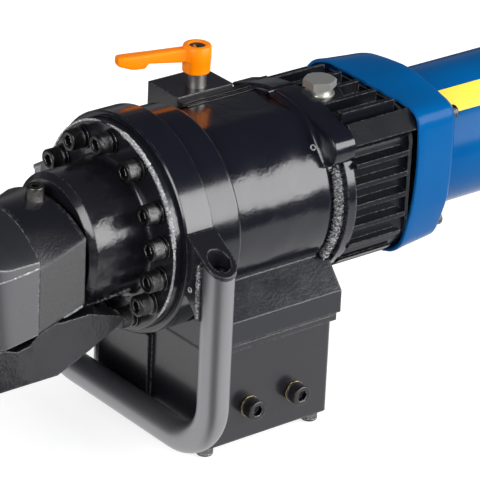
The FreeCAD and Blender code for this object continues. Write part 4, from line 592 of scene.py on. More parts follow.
@dataclass(frozen=True)
class Moulded(Finish):
    """Moulded plastic or rubber: faint flow tone, fine grain and light scuffs."""

    grain_depth: float = 0.00006
    grain_scale: float = 1400.0
    pale_edge: float = 0.25
    shine: float = 0.5

    def build(self, bench: Bench) -> bpy.types.Material:
        """Grain is fine noise; scuffs are thin stretched streaks that roughen the surface; edges go a little paler."""
        grain = bench.noise(self.grain_scale, 2, 0.6)
        flow = bench.noise(14, 3, 0.5)
        scuffs = bench.noise(60, 6, 0.8, bench.stretched((0.5, 3.0, 2.0))).ramp(0.62, 0.74)
        shade = tuple(channel * 0.8 for channel in self.colour)
        paler = tuple(min(1.0, channel * 1.25 + 0.05) for channel in self.colour)
        colour = bench.mix(bench.edges(self.edge * 1.4) * self.pale_edge, bench.mix(flow, shade, self.colour), paler)
        rough = scuffs * 0.12 + flow * 0.08 + (self.rough - 0.04)
        normal = bench.bump(grain, 0.6, self.grain_depth, bench.rounded(self.edge))
        return bench.shade({"IOR": 1.49, "Specular IOR Level": self.shine},
                           {"Base Color": colour, "Roughness": rough, "Normal": normal})


@dataclass(frozen=True)
class Film(Finish):
    """Printed film, plain: faint mottling, small scuffs and a slight ripple from the glue."""

    def build(self, bench: Bench) -> bpy.types.Material:
        """Colour is mottled by fine noise; the ripple is broad noise."""
        mottle = bench.noise(900, 3, 0.7)
        scuff = bench.noise(240, 6, 0.85).ramp(0.66, 0.74)
        colour = bench.mix(mottle, self.colour, tuple(channel * 0.9 for channel in self.colour))
        colour = bench.mix(scuff * 0.35, colour, (0.62, 0.5, 0.16))
        normal = bench.bump(bench.noise(70, 2), 0.5, 0.0003, bench.rounded(self.edge))
        rough = scuff * 0.2 + self.rough
        return bench.shade({"IOR": 1.45}, {"Base Color": colour, "Roughness": rough, "Normal": normal})


BLACK = (0.0045, 0.005, 0.0085)
ENAMEL_RING = Enamel("enamel_ring", BLACK, 0.17, 0.0009, Skin.MACHINED)
ENAMEL_CASTING = Enamel("enamel_casting", BLACK, 0.17, 0.0018, Skin.PEEL, 0.12)
ENAMEL_SKIN = Enamel("enamel_skin", BLACK, 0.17, 0.0002, Skin.LUMPY, 0.12, 0.0, deep=0.4)
ENAMEL_HEAD = Enamel("enamel_head", (0.007, 0.007, 0.0095), 0.22, 0.0016, Skin.LUMPY)
ENAMEL_BRACKET = Enamel("enamel_bracket", (0.007, 0.007, 0.0095), 0.24, 0.0016, Skin.PEEL)
# ENAMEL_ROUGH and ENAMEL_FORMER paint their faces turned along y paler (their side colour): painted reflection.
ENAMEL_ROUGH = Enamel("enamel_rough", (0.006, 0.006, 0.009), 0.22, 0.004, Skin.CAST, side=(0.05, 0.05, 0.052))
ENAMEL_FORMER = Enamel("enamel_former", (0.012, 0.0125, 0.015), 0.26, 0.0018, Skin.SMOOTH, 0.3, 0.5, (0.3, 0.3, 0.3),
                       1.0, (0.06, 0.06, 0.066))
ENAMEL_TANK = Enamel("enamel_tank", (0.006, 0.006, 0.0085), 0.26, 0.0016, Skin.SMOOTH)
ENAMEL_FINS = Enamel("enamel_fins", (0.0045, 0.0048, 0.007), 0.27, 0.0009, Skin.SMOOTH, 0.05, 0.7, (0.12, 0.12, 0.13),
                     0.16)
# Weld and run enamels are speckled pale by their weld skin: painted glints.
ENAMEL_WELD = Enamel("enamel_weld", (0.012, 0.012, 0.014), 0.14, 0.0004, Skin.WELD, 0.4, 0.6, (0.42, 0.42, 0.43))
# Black enamel runs with a pale grey colour and a paler bare colour: painted highlight, so that they read as lit edges.
ENAMEL_RUN_PAINTED_HIGHLIGHT = Enamel("enamel_run_painted_highlight", (0.16, 0.16, 0.17), 0.12, 0.0004, Skin.WELD, 0.6, 0.6, (0.7, 0.7, 0.71))
# The tube steel's brownish tint is a painted reflection, not the steel's own colour.
TUBE_STEEL = Steel("tube_steel", (0.2, 0.175, 0.17), 0.18, 0.0008, (0.3, 0.3, 0.3), 0.4, Grain.NONE, 0.08)
SCREW_BLACK = Steel("screw_black", (0.075, 0.072, 0.075), 0.36, 0.0004, (0.55, 0.54, 0.53), 0.75, Grain.NONE, 0.3)
RAM_SCREW = Steel("ram_screw", (0.13, 0.122, 0.115), 0.34, 0.0004, (0.7, 0.68, 0.65), 0.8)
WASHER_BLACK = Steel("washer_black", (0.06, 0.06, 0.062), 0.34, 0.0004, (0.5, 0.5, 0.5), 0.7)
GROUND_STEEL = Steel("ground_steel", (0.56, 0.56, 0.57), 0.28, 0.0006, (0.8, 0.8, 0.8), 0.5, Grain.AROUND_Z)
TURNED_STEEL = Steel("turned_steel", (0.5, 0.5, 0.5), 0.3, 0.0005, (0.8, 0.8, 0.8), 0.5, Grain.AROUND_X)
HARD_CHROME = Steel("hard_chrome", (0.72, 0.73, 0.75), 0.12, 0.0005, (0.85, 0.85, 0.86), 0.3, Grain.AROUND_X, 0.05)
STUD_STEEL = Steel("stud_steel", (0.34, 0.32, 0.31), 0.4, 0.0005, (0.7, 0.68, 0.66), 0.6, Grain.AROUND_Z, 0.6)
BAR_STEEL = Steel("bar_steel", (0.05, 0.05, 0.052), 0.3, 0.0004, (0.3, 0.3, 0.3), 0.3)
ZINC = Steel("zinc", (0.95, 0.95, 0.88), 0.3, 0.0006, (1.0, 1.0, 0.95), 0.7, Grain.NONE, 0.4, 0.1)
WASHER_BRASS = Steel("washer_brass", (0.1, 0.08, 0.05), 0.34, 0.0004, (0.9, 0.72, 0.38), 1.0)
WELD_STEEL = Steel("weld_steel", (0.42, 0.41, 0.41), 0.3, 0.0004, (0.8, 0.8, 0.8), 0.8, Grain.NONE, 1.0)
BRASS = Steel("brass", (0.72, 0.56, 0.26), 0.3, 0.0003, (0.9, 0.76, 0.42), 0.6)
BRONZE = Steel("bronze", (0.6, 0.4, 0.2), 0.32, 0.0005, (0.8, 0.6, 0.35), 0.6, Grain.AROUND_X)
COPPER = Steel("copper", (0.72, 0.38, 0.22), 0.3, 0.0004, (0.9, 0.6, 0.4), 0.5, Grain.AROUND_X)
SHEET_STACK = Steel("sheet_stack", (0.2, 0.2, 0.21), 0.45, 0.0003, (0.4, 0.4, 0.4), 0.4, Grain.AROUND_X, 1.0)
BLUE = Moulded("blue_plastic", (0.0, 0.085, 0.27), 0.2, 0.0011, 0.00003, 1400, 0.3, 0.08)
ORANGE = Moulded("orange_plastic", (1.0, 0.24, 0.0), 0.3, 0.0012, 0.00004, 1400, 0.15, 0.22)
SOFT_BLACK = Moulded("soft_black", (0.014, 0.014, 0.016), 0.42, 0.001, 0.00014, 1300)
SEAL_RUBBER = Moulded("seal_rubber", (0.012, 0.012, 0.012), 0.5, 0.0004, 0.0001)
AIR_GREY = Moulded("air_grey", (0.4, 0.41, 0.43), 0.4, 0.0008, 0.0001, 1500)
KEY_RED = Moulded("key_red", (0.5, 0.02, 0.015), 0.3, 0.0008)
CARBON = Moulded("carbon", (0.02, 0.02, 0.02), 0.5, 0.0004, 0.0001)
LABEL_FILM = Film("label_film", (0.9, 0.66, 0.07), 0.36, 0.0002)


def dress(finish: Finish, *nodes: str) -> None:
    """Gives CAD nodes a finish.

    Args:
        finish: The finish.
        nodes: Names of the nodes.
    """
    for name in nodes:
        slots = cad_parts[name].data.materials
        slots.clear()
        slots.append(finish.material())
        LOG.info("%s dressed in %s", name, finish.name)


# ---------------------------------------------------------------- fasteners

@dataclass(frozen=True)
class CapScrew:
    """Socket screw with a knurled head: sizes in millimetres."""

    shank: float
    length: float
    head: float
    height: float
    socket: float
    depth: float
    teeth: int = 48

    def shell(self, seat: Point, out: Point) -> Shell:
        """Turns the screw's profile; the head's side is notched, and the socket is a hexagon.

        Args:
            seat: Middle of the face that the head rests on.
            out: Direction from the seat through the head.

        Returns:
            A closed shell.
        """
        columns = self.teeth * 2
        top, floor, knurl = self.height, self.height - self.depth, self.head - 0.03
        rows = [(-self.length, 0.0), (-self.length, self.shank * 0.82), (0.8 - self.length, self.shank),
                (-0.05, self.shank), (0.0, self.shank), (0.0, self.head - 0.45), (0.35, self.head),
                (0.9, self.head), (1.0, knurl), (top - 1.9, knurl), (top - 1.8, self.head), (top - 0.9, self.head),
                (top - 0.35, self.head - 0.3), (top, self.head - 0.95), (top, self.socket * 1.16),
                (top - 0.5, self.socket), (floor, self.socket), (floor - 0.9, self.head * 0.128), (floor - 1.0, 0.0)]
        along, radius = profile(rows, columns)
        radius[8:10, ::2] -= 0.22
        radius[15:17] = hexagon(columns, self.socket * math.cos(math.pi / 6))
        return lathe(along, radius, seat, out)


@dataclass
class FlangeScrews:
    """The ring of cap screws that bolts the head on."""

    screw: CapScrew = CapScrew(5.0, 34.5, 8.0, 10.0, 4.6, 5.0)
    circle: float = 68.0
    seat: float = -13.0
    angles: tuple[int, ...] = (90, -90, 60, 30, 8, -14, -36, -62, 120, 150, 172, -166, -144, -118)

    def build(self) -> None:
        """One screw at each angle, all in one piece that stands for the CAD screws."""
        seats = away(np.radians(self.angles)) * self.circle + np.array([self.seat, 0, 0])
        shells = [self.screw.shell(seat, (-1, 0, 0)) for seat in seats]
        made = piece("flange_cap_screws", joined(shells), SCREW_BLACK)
        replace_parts(made, "flange_screws")
        dress(WASHER_BLACK, "spring_washers", "flat_washers")


@dataclass(frozen=True)
class HexHead:
    """Hexagon head on a round collar and a shank, heights from the collar's seat; across is over the flats."""

    shank: float
    length: float
    collar: float
    collar_height: float
    across: float
    height: float

    def shell(self, seat: Point) -> Shell:
        """Turns the profile; near the top the hexagon is held inside a cone of 30 degrees, as on a turned head."""
        columns, flat = 120, self.across / 2
        top = self.collar_height + self.height
        six = hexagon(columns, flat)
        rows = [(-self.length, 0.0), (-self.length, self.shank - 0.8), (0.8 - self.length, self.shank),
                (0.0, self.shank), (0.0, self.collar - 0.3), (0.3, self.collar), (self.collar_height, self.collar)]
        lifts = np.concatenate([self.collar_height + np.array([0.0, 0.5]), top - np.linspace(0.9, 0.0, 10)])
        cones = flat * 1.03 + (top - lifts) / math.tan(math.radians(30))
        cones[0] = flat * 0.98
        along, radius = profile(rows, columns)
        head = np.minimum(six, cones[:, None])
        return lathe(np.concatenate([along, lifts, [top]]),
                     np.concatenate([radius, head, np.zeros((1, columns))]), seat, (0, 0, 1))


# ---------------------------------------------------------------- sub-assemblies

@dataclass
class BendingHead:
    """Neck, flange, cradle, rollers, ram block and former.

    A run of paint round the flange is its first and last angle, its radius and its seed.
    """

    ram_screw: CapScrew = CapScrew(4.0, 9.0, 6.8, 12.0, 3.6, 5.0)
    ram_screw_seat: Point = (-76.0, 0.0, 37.5)
    flange_edge: float = 79.7
    flange_front: float = -8.0
    flange_runs: tuple[tuple[float, float, float, int], ...] = ((-40, 95, 0.8, 5), (6, 84, 1.5, 9), (100, 215, 0.8, 21))
    neck: float = 51.0
    neck_welds: tuple[tuple[float, float], ...] = ((-60, -40), (220, 240))
    weld_reach: tuple[float, float] = (-56.0, -14.0)
    ram_edge: tuple[Point, ...] = ((-106.0, 50.2, 11.3), (-122.0, 50.2, 9.2), (-132.5, 50.05, 8.1),
                                   (-140.6, 48.6, 7.25), (-148.2, 46.0, 6.5), (-154.5, 42.7, 5.9))
    ram_foot: tuple[Point, ...] = ((-66.0, 49.3, -29.5), (-84.0, 49.3, -34.6))
    spring_start: float = 2.3
    spring_radius: float = 35.0
    spring_wire: float = 2.9
    spring_turns: float = 6.0
    spring_shares: tuple[float, ...] = (0.0, 0.12, 0.2, 0.8, 0.88, 1.0)
    spring_places: tuple[float, ...] = (3.0, 3.0, 12.0, 97.4, 106.4, 106.4)

    def build(self) -> None:
        """Dresses the head, and makes its spring, its screw, its welds and the paint that gathered on its edges."""
        dress(ENAMEL_HEAD, "head_frame")
        dress(ENAMEL_ROUGH, "ram_block")
        dress(ENAMEL_FORMER, "bending_former")
        dress(GROUND_STEEL, "roller_left", "roller_right")
        dress(SCREW_BLACK, "roller_pins", "pin_clips")
        dress(HARD_CHROME, "piston_rod", "pump_plungers")
        dress(TURNED_STEEL, "piston")
        dress(SEAL_RUBBER, "piston_seals", "rod_wiper")
        dress(BRONZE, "rod_bushing")
        self.spring()
        made = piece("ram_cap_screw", self.ram_screw.shell(self.ram_screw_seat, (0, 0, 1)), RAM_SCREW, body="ram")
        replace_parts(made, "ram_block_screw")
        self.paint()

    def spring(self) -> None:
        """A helix whose end turns lie flat: its place along the axis follows a table over the share of its length
        that is wound. It is built at one length; the real spring shortens as the ram goes out."""
        share = np.linspace(0, 1, 900)
        turn = 2 * np.pi * self.spring_turns * share
        out = np.stack([0 * turn, np.cos(turn), np.sin(turn)], 1)
        path = out * self.spring_radius
        path[:, 0] = np.interp(share, self.spring_shares, self.spring_start + np.array(self.spring_places))
        wire = bead(flowing(path, len(share), 12), out, self.spring_wire, 1, 1, False, uneven=0.0)
        made = piece("coil_spring", wire, SCREW_BLACK)
        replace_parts(made, "return_spring")
        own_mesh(made)

    def paint(self) -> None:
        """The runs of paint along the flange's edge, the welds along the neck's underside and the runs on the ram."""
        runs = []
        for first, last, size, seed in self.flange_runs:
            path, out = arc(self.flange_edge, first, last, self.flange_front, 420)
            runs.append(bead(path, out, size, seed, 60, False, uneven=0.5))
        # The flange run is dressed pale: painted highlight along the flange's edge.
        piece("flange_paint_run", joined(runs), ENAMEL_RUN_PAINTED_HIGHLIGHT)
        welds = []
        for first, last in self.neck_welds:
            path, _ = arc(self.neck, first, last, 0.0, 8)
            path[:, 0] = np.linspace(*self.weld_reach, len(path))
            path = flowing(path, 90, 6)
            out = path * np.array([0.0, 1.0, 1.0]) / self.neck
            welds.append(bead(path, out, 2.6, 31, 22, False, 14, 0.45, 0.6))
        piece("neck_weld", joined(welds), ENAMEL_WELD)
        runs = []
        for side in (-1, 1):
            path = flowing(np.array(self.ram_edge) * (1, side, 1), 140, 3)
            out = np.broadcast_to(np.array([0.0, side * 0.7, 0.7]), path.shape)
            runs.append(bead(path, out, 0.7, 17, 30, False, 10, 0.5))
            path = flowing(np.array(self.ram_foot) * (1, side, 1), 90, 3)
            runs.append(bead(path, out[:90] * (1, 1, -1), 0.9, 23, 24, False, 10, 0.6))
        # The ram's runs are dressed pale: painted highlight along the ram's edges.
        piece("ram_edge_runs", joined(runs), ENAMEL_RUN_PAINTED_HIGHLIGHT, body="ram")


@dataclass
class Casting:
    """Front ring and main casting, with the skins, the weld and the pits that lie on them.

    A pit is its place, the direction that it faces and its radius. The outline is that of the rear flange, as (y, z).
    """

    pits: tuple[tuple[Point, Point, float], ...] = (
        ((138.8, -53.8, 47.6), (0.0, -0.75, 0.66), 2.0), ((-0.1, -88.8, -18.6), (-1.0, 0.0, 0.0), 1.8))
    bead_place: float = 152.5
    bead_radius: float = 71.0
    bead_size: float = 3.6
    beads: tuple[tuple[float, float, int], ...] = ((-46, 27, 3), (153, 226, 11))
    body: float = 71.0
    flat: float = 67.3
    blend: float = 0.9
    lift: float = 0.66
    waves: float = 0.13
    near_end: float = -0.42
    far_end: float = 1.836
    reach: tuple[float, float] = (40.4, 143.0)
    wall: float = 3.0
    flare_start: float = 139.4
    flare: float = 5.4
    rim: float = 1.6
    back: float = 164.9
    outline: tuple[tuple[float, float], ...] = (
        (54.0, 58.6), (42.0, 63.0), (30.5, 66.8), (20.0, 69.6), (8.0, 71.4), (-7.3, 71.9), (-16.5, 71.0), (-28.7, 68.6),
        (-40.8, 65.2), (-52.9, 61.8), (-63.8, 58.6), (-70.4, 53.8), (-71.6, 47.5), (-71.4, 40.0), (-69.0, 35.4),
        (-64.5, 33.6), (-60.0, 34.6))

    def build(self) -> None:
        """Dresses the castings and makes what lies on them."""
        dress(ENAMEL_RING, "front_ring")
        dress(ENAMEL_CASTING, "main_casting")
        shells = []
        for first, last, seed in self.beads:
            path, out = arc(self.bead_radius, first, last, self.bead_place, 260)
            shells.append(bead(path, out, self.bead_size, seed, 34, False, 16, 0.34, 0.85))
        piece("rear_flange_bead", joined(shells), ENAMEL_WELD)
        turn = turns(48)[:, None]
        rings = []
        for spot, out, size in self.pits:
            out, across, upward = frame_of(np.array(out))
            path = np.array(spot) + size * (np.cos(turn) * across + np.sin(turn) * upward)
            rings.append(bead(path, np.broadcast_to(out, path.shape), 0.5, 3, 9, True, 8, 0.2))
        # The rings round the pits are dressed pale: painted highlight round the holes.
        piece("sprue_rings", joined(rings), ENAMEL_RUN_PAINTED_HIGHLIGHT)
        piece("rear_flange_skin", self.flange_skin(), ENAMEL_SKIN)
        piece("casting_shell", self.shell(), ENAMEL_SKIN)

    def flange_skin(self) -> Shell:
        """The rear flange's flowing front: sections follow its outline, each a concave quarter ellipse up from the
        cylinder, a rounded rim and a flat back; the last ones turn under the ear."""
        outline = flowing(self.outline, 260, 5)
        foot = (self.body + self.lift - 0.04) * away(np.arctan2(outline[:, 1], -outline[:, 0]))[:, 1:]
        rise = outline - foot
        way = rise / np.maximum(np.linalg.norm(rise, axis=1, keepdims=True), 0.01)
        bend = np.linspace(0, np.pi / 2, 14)
        start, top, rim = self.flare_start, self.flare_start + self.flare, self.rim
        rows = [(start + self.flare * math.sin(angle), 1 - math.cos(angle), 0.0) for angle in bend]
        rows += [(top + rim * (1 - math.cos(angle)), 1.0, rim * math.sin(angle)) for angle in bend[3::2]]
        rows += [(self.back - 0.8, 1.0, rim), (self.back, 1.0, 0.5), (self.back, 0.0, -self.wall),
                 (start, 0.0, -self.wall), (start, 0.0, -0.2)]
        flat = np.stack([foot + rise * share + way * proud for _, share, proud in rows], 1)
        along = np.broadcast_to(np.array([row[0] for row in rows]), flat.shape[:2])
        return skinned(np.concatenate([along[:, :, None], flat], 2))

    def shell(self) -> Shell:
        """A skin over the cylinder and the flat along its top: at each angle t its radius is -k ln(exp(-r/k) +
        exp(-h/(k sin t))) plus a lift, so that cylinder r and flat h flow into each other; low waves, a product and a
        sum of sines, stand for the hand-dressed casting."""
        turn = np.linspace(self.near_end, self.far_end, 240)
        flat = self.flat / np.maximum(np.sin(turn), 0.3)
        radius = self.lift - self.blend * np.log(np.exp(-self.body / self.blend) + np.exp(-flat / self.blend))
        way = away(turn)[:, 1:]
        places = np.linspace(*self.reach, 80)[:, None]
        calm = np.clip((1.05 - turn) / 0.3, 0, 1)
        waves = np.sin(places / 9.3 + 2.4 * turn) * np.sin(places / 21.0 - 5.2 * turn + 1.0) + 0.6 * np.sin(
            places / 6.1 - 7.5 * turn + 2.0)
        radius = radius + self.waves * calm * waves
        outer, inner = way * radius[:, :, None], way * (radius[:, :, None] - self.wall)
        points = np.concatenate([outer, inner[:, ::-1]], 1)
        along = np.broadcast_to(places, points.shape[:2])
        return skinned(np.concatenate([along[:, :, None], points], 2))


@dataclass
class CarryHandle:
    """U-shaped tube, its brackets, the screws in its ends and the welds; the tube's ends slope outwards."""

    place: float = 12.8
    half_pitch: float = 105.0
    tube: float = 12.0
    reach: float = 118.0
    slope: float = 0.636
    cap: float = 3.0
    weld_place: float = 0.6
    weld_inset: float = 7.2
    weld_heights: tuple[float, float] = (6.0, -41.0)

    def build(self) -> None:
        """Dresses the handle, and lays the seams round the tube's ends and the welds down the brackets."""
        dress(TUBE_STEEL, "carry_handle")
        dress(ENAMEL_BRACKET, "handle_brackets")
        dress(SCREW_BLACK, "bracket_screws")
        seams, strips = [], []
        for side in (-1, 1):
            turn = turns(160)
            out = np.stack([np.cos(turn), np.sin(turn), 0 * turn], 1)
            path = np.array([self.place, side * self.half_pitch, 0.0]) + out * self.tube
            path[:, 2] = self.slope * (self.reach - np.abs(path[:, 1])) - self.cap
            seams.append(bead(path, out, 0.75, 41, 40, True, 10, 0.35))
            inner = side * (self.half_pitch - self.weld_inset)
            upright = np.linspace(*[(self.weld_place, inner, height) for height in self.weld_heights], 90)
            out = np.broadcast_to(np.array([-0.8, side * 0.6, 0.0]), upright.shape)
            strips.append(bead(upright, out, 1.9, 47, 22, False, 14, 0.4))
        piece("tube_end_seams", joined(seams), WELD_STEEL)
        piece("bracket_welds", joined(strips), ENAMEL_WELD)


@dataclass
class Tank:
    """Oil tank with its gasket, screws and washers."""

    side: CapScrew = CapScrew(5.0, 8.0, 8.0, 10.0, 4.6, 5.0)
    foot: CapScrew = CapScrew(4.0, 12.0, 6.5, 8.0, 3.4, 4.0)
    side_places: tuple[float, float] = (72.0, 115.0)
    drop: float = 141.0
    foot_places: tuple[float, float] = (40.0, 141.0)
    foot_half_pitch: float = 63.5

    def build(self) -> None:
        """Dresses the tank and makes its screws."""
        dress(ENAMEL_TANK, "oil_tank")
        dress(SEAL_RUBBER, "tank_gasket")
        dress(BRASS, "suction_tube")
        dress(WASHER_BRASS, "tank_side_washers", "tank_foot_washers")
        seat = (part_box("tank_side_washers")[1][1] - AXIS[1]) / MM
        shells = [self.side.shell((place, side * seat, -self.drop), (0, side, 0))
                  for place in self.side_places for side in (-1, 1)]
        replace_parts(piece("tank_side_cap_screws", joined(shells), SCREW_BLACK), "tank_side_screws")
        seat = (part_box("tank_foot_washers")[0][2] - AXIS[2]) / MM
        shells = [self.foot.shell((place, side * self.foot_half_pitch, seat), (0, 0, -1))
                  for place in self.foot_places for side in (-1, 1)]
        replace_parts(piece("tank_foot_cap_screws", joined(shells), SCREW_BLACK), "tank_foot_screws")


@dataclass
class Clamp:
    """Clamp block with its stop bar, stud and lever.

    Rows of the arm give the distance from the pivot, the depths of its underside and its top below the hub's top, and
    its half width. Rows of the hub give heights over the tool axis, and radii.
    """

    screw: CapScrew = CapScrew(3.0, 9.0, 6.0, 5.0, 3.4, 3.0, 24)
    screw_seat: float = 98.6
    pivot: tuple[float, float] = (102.5, 44.5)
    top: float = 104.5
    arm_way: Point = (-0.9561, 0.293, 0.0)
    arm_rows: tuple[tuple[float, float, float, float], ...] = (
        (1.0, 13.4, 1.5, 4.6), (20.0, 12.0, 2.1, 4.5), (39.5, 10.5, 2.7, 4.7), (41.0, 12.2, 2.75, 4.9),
        (42.5, 14.0, 2.8, 5.1), (50.0, 14.2, 3.0, 5.4), (53.0, 13.8, 3.05, 5.4), (57.5, 12.4, 3.15, 5.2),
        (61.5, 11.1, 3.3, 4.9), (63.2, 10.5, 3.5, 4.6), (64.0, 9.8, 4.2, 3.9))
    hub_flat: float = 9.5
    hub_rows: tuple[tuple[float, float], ...] = (
        (82.6, 5.15), (82.6, 10.2), (83.2, 10.7), (91.6, 10.9), (92.6, 11.2), (102.9, 11.0), (104.1, 10.4),
        (104.5, 9.4), (104.5, 6.9), (103.9, 6.2), (98.5, 6.1), (98.5, 3.1), (94.6, 3.1), (94.6, 5.15), (82.6, 5.15))

    def arm(self) -> Shell:
        """Rounded squares along the arm, each from its underside to its top; the arm widens to a beaked tip."""
        stops, *measures = np.array(self.arm_rows).T
        steps = np.sort(np.concatenate([np.linspace(stops[0], stops[-1], 90), stops]))
        low, high, half = (np.interp(steps, stops, values) for values in measures)
        square = soft_square(48, 7.0)
        way = np.array(self.arm_way)
        aside = np.array([-way[1], way[0], 0.0])
        middle = np.array([*self.pivot, self.top]) + steps[:, None] * way
        taper = 1.0 - 0.12 * square[:, 1] * (square[:, 1] > 0)
        across = half[:, None] * square[:, 0] * taper
        lift = -(low + high)[:, None] / 2 + (low - high)[:, None] / 2 * square[:, 1]
        return skinned(middle[:, None] + across[:, :, None] * aside + lift[:, :, None] * np.array([0.0, 0.0, 1.0]))

    def hub(self) -> Shell:
        """Turned hub with a stepped, one-sided flat foot and a recess for its screw, closed through its bore."""
        along, radius = profile(self.hub_rows, 96)
        radius[1:4] = np.minimum(radius[1:4], self.hub_flat / np.maximum(-np.sin(turns(96)), 0.05))
        return lathe(along, radius, (*self.pivot, 0.0), (0, 0, 1))

    def build(self) -> None:
        """Dresses the clamp and makes its lever."""
        dress(ENAMEL_TANK, "clamp_block")
        dress(BAR_STEEL, "stop_bar")
        dress(STUD_STEEL, "clamp_stud")
        made = piece("kip_lever", self.arm() + self.hub(), ORANGE, body="lever")
        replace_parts(made, "clamp_lever")
        # The lever screw is dressed in matte soft black, darker than a screw, so that the hub's recess reads dark:
        # painted shade.
        made = piece("lever_cap_screw", self.screw.shell((*self.pivot, self.screw_seat), (0, 0, 1)), SOFT_BLACK,
                     body="lever")
        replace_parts(made, "lever_screw")


@dataclass
class Pump:
    """Finned housing with its plug, and the pump inside it."""

    plug: HexHead = HexHead(8.0, 15.0, 9.0, 4.3, 22.6, 6.6)
    plug_seat: Point = (177.0, -12.0, 69.0)

    def build(self) -> None:
        """Dresses the pump and makes its plug."""
        dress(ENAMEL_FINS, "pump_housing")
        dress(ZINC, "filler_washer")
        made = piece("hexagon_plug", self.plug.shell(self.plug_seat), ZINC, smooth=25.0)
        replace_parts(made, "filler_plug")
        dress(TURNED_STEEL, "pump_block", "shaft_bearings", "motor_shaft")


@dataclass
class Motor:
    """Hood, barrel and what turns inside them; the outlines (y, z) are half rings, turned for the rest."""

    screw: CapScrew = CapScrew(2.5, 50.0, 5.4, 6.0, 2.6, 3.0, 24)
    front: float = 225.0
    rim: float = 261.0
    back: float = 269.0
    wall: float = 3.0
    round_: float = 3.0
    bore: float = 50.2
    lug: float = 6.5
    lugs: tuple[tuple[float, float], ...] = ((-58.0, 47.0), (-48.5, -46.5), (58.0, -47.0), (48.5, 46.5))
    front_half: tuple[tuple[float, float], ...] = (
        (53.5, 61.8), (36.6, 66.9), (1.6, 65.8), (-29.8, 64.6), (-57.8, 63.5), (-66.7, 62.2), (-71.9, 59.4),
        (-74.3, 53.1), (-76.1, 24.9), (-75.3, 3.7), (-72.8, -16.1), (-67.5, -37.2), (-63.0, -51.8))
    rim_half: tuple[tuple[float, float], ...] = (
        (52.0, 57.5), (44.4, 62.2), (29.6, 67.4), (11.7, 69.9), (-9.1, 71.7), (-24.0, 70.7), (-36.1, 67.8),
        (-51.1, 63.9), (-66.0, 60.0), (-71.0, 53.5), (-72.3, 27.0), (-72.0, 1.7), (-69.9, -20.2), (-64.3, -37.4),
        (-58.4, -52.5))
    columns: int = 288

    def outline(self, half: tuple[tuple[float, float], ...]) -> np.ndarray:
        """A ring of radii at even angles from a half outline and the same turned by 180 degrees, rounded a little.

        Args:
            half: Corners (y, z), in order around the axis.

        Returns:
            The radii.
        """
        corners = np.array([*half, *[(-across, -up) for across, up in half]])
        loop = flowing([*corners, corners[0]], 1200, 1)
        turn = np.arctan2(loop[:, 1], -loop[:, 0]) % (2 * np.pi)
        order = np.argsort(turn)
        radius = np.interp(turns(self.columns), turn[order], np.linalg.norm(loop, axis=1)[order], period=2 * np.pi)
        wide = np.concatenate([radius[-3:], radius, radius[:3]])
        return np.convolve(wide, np.full(7, 1 / 7), mode="valid")

    def hood(self) -> Shell:
        """Rings from the front edge back over the rim and in to the barrel, then the same ones inside, as one band."""
        front, rim, bore = self.outline(self.front_half), self.outline(self.rim_half), np.full(self.columns, self.bore)
        start, edge, back, wall = self.front, self.rim, self.back, self.wall
        rows = [(start + 0.6, front), (start + 2.0, front + 0.1)]
        rows += [(start + step, front + (rim - front) * step / (edge - start)) for step in (9.0, 18.0, 27.0)]
        rows += [(edge + self.round_ * math.sin(turn), rim - self.round_ * (1 - math.cos(turn)))
                 for turn in np.radians([0, 20, 40, 60])]
        rows += [(back - 2.0, rim - 4.4), (back - 0.4, rim - 7.4), (back, rim - 8.6), (back, bore), (back - wall, bore),
                 (edge + 1.0, rim - wall - self.round_), (edge - self.round_, rim - wall), (start + 1.0, front - wall),
                 (start, front - wall + 0.6), (start, front - 0.6)]
        way = away(turns(self.columns))
        return grid(np.stack([way * radius[:, None] + np.array([along, 0, 0]) for along, radius in rows]), True, True)

    def build(self) -> None:
        """Makes the hood, and dresses the rest of the motor."""
        length = self.back - self.front - 1.0
        lug = profile([(0.0, 0.0), (0.0, self.lug), (length, self.lug), (length, 0.0)], 40)
        lugs = [lathe(*lug, (self.front + 0.5, *spot), (1, 0, 0)) for spot in self.lugs]
        made = piece("motor_hood_shell", joined([self.hood(), *lugs]), BLUE)
        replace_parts(made, "motor_hood")
        screws = joined([self.screw.shell((self.back, *spot), (1, 0, 0)) for spot in self.lugs])
        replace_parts(piece("hood_cap_screws", screws, SCREW_BLACK), "hood_screws")
        dress(AIR_GREY, "hood_baffle")
        dress(BLUE, "motor_barrel")
        dress(LABEL_FILM, "label_plate")
        dress(SHEET_STACK, "stator", "armature_core")
        dress(COPPER, "commutator")
        dress(SOFT_BLACK, "cooling_fan", "motor_end_cap", "brush_caps")
        dress(CARBON, "brushes")


@dataclass
class RearHandle:
    """D-shaped handle with its switch."""

    def build(self) -> None:
        """Dresses the handle."""
        dress(SOFT_BLACK, "handle_left", "handle_right", "switch_body")
        dress(SCREW_BLACK, "handle_screws")
        dress(KEY_RED, "trigger", "lock_button")
        dress(SEAL_RUBBER, "cord_gland")


# ---------------------------------------------------------------- studio

@dataclass(frozen=True)
class SoftBox:
    """An upright sheet of light, placed by its direction from the tool, in degrees; its lengths are in metres."""

    name: str
    azimuth: float
    low: float
    high: float
    width: float
    glow: float
    distance: float = 2.6
    level: float = 0.18

    def build(self) -> None:
        """Sets up the lamp; its power is its glow times pi times its area."""
        low, high = (self.distance * math.tan(math.radians(angle)) for angle in (self.low, self.high))
        turn = math.radians(self.azimuth)
        lamp = bpy.data.lights.new(self.name, "AREA")
        lamp.shape = "RECTANGLE"
        lamp.size = 2 * self.distance * math.tan(math.radians(self.width / 2))
        lamp.size_y = high - low
        lamp.energy = self.glow * math.pi * lamp.size * lamp.size_y
        holder = placed(self.name, lamp)
        holder.location = (self.distance * math.cos(turn), self.distance * math.sin(turn),
                           self.level + (high + low) / 2)
        holder.rotation_euler = (math.pi / 2, 0.0, turn + math.pi / 2)
        holder.visible_camera = False


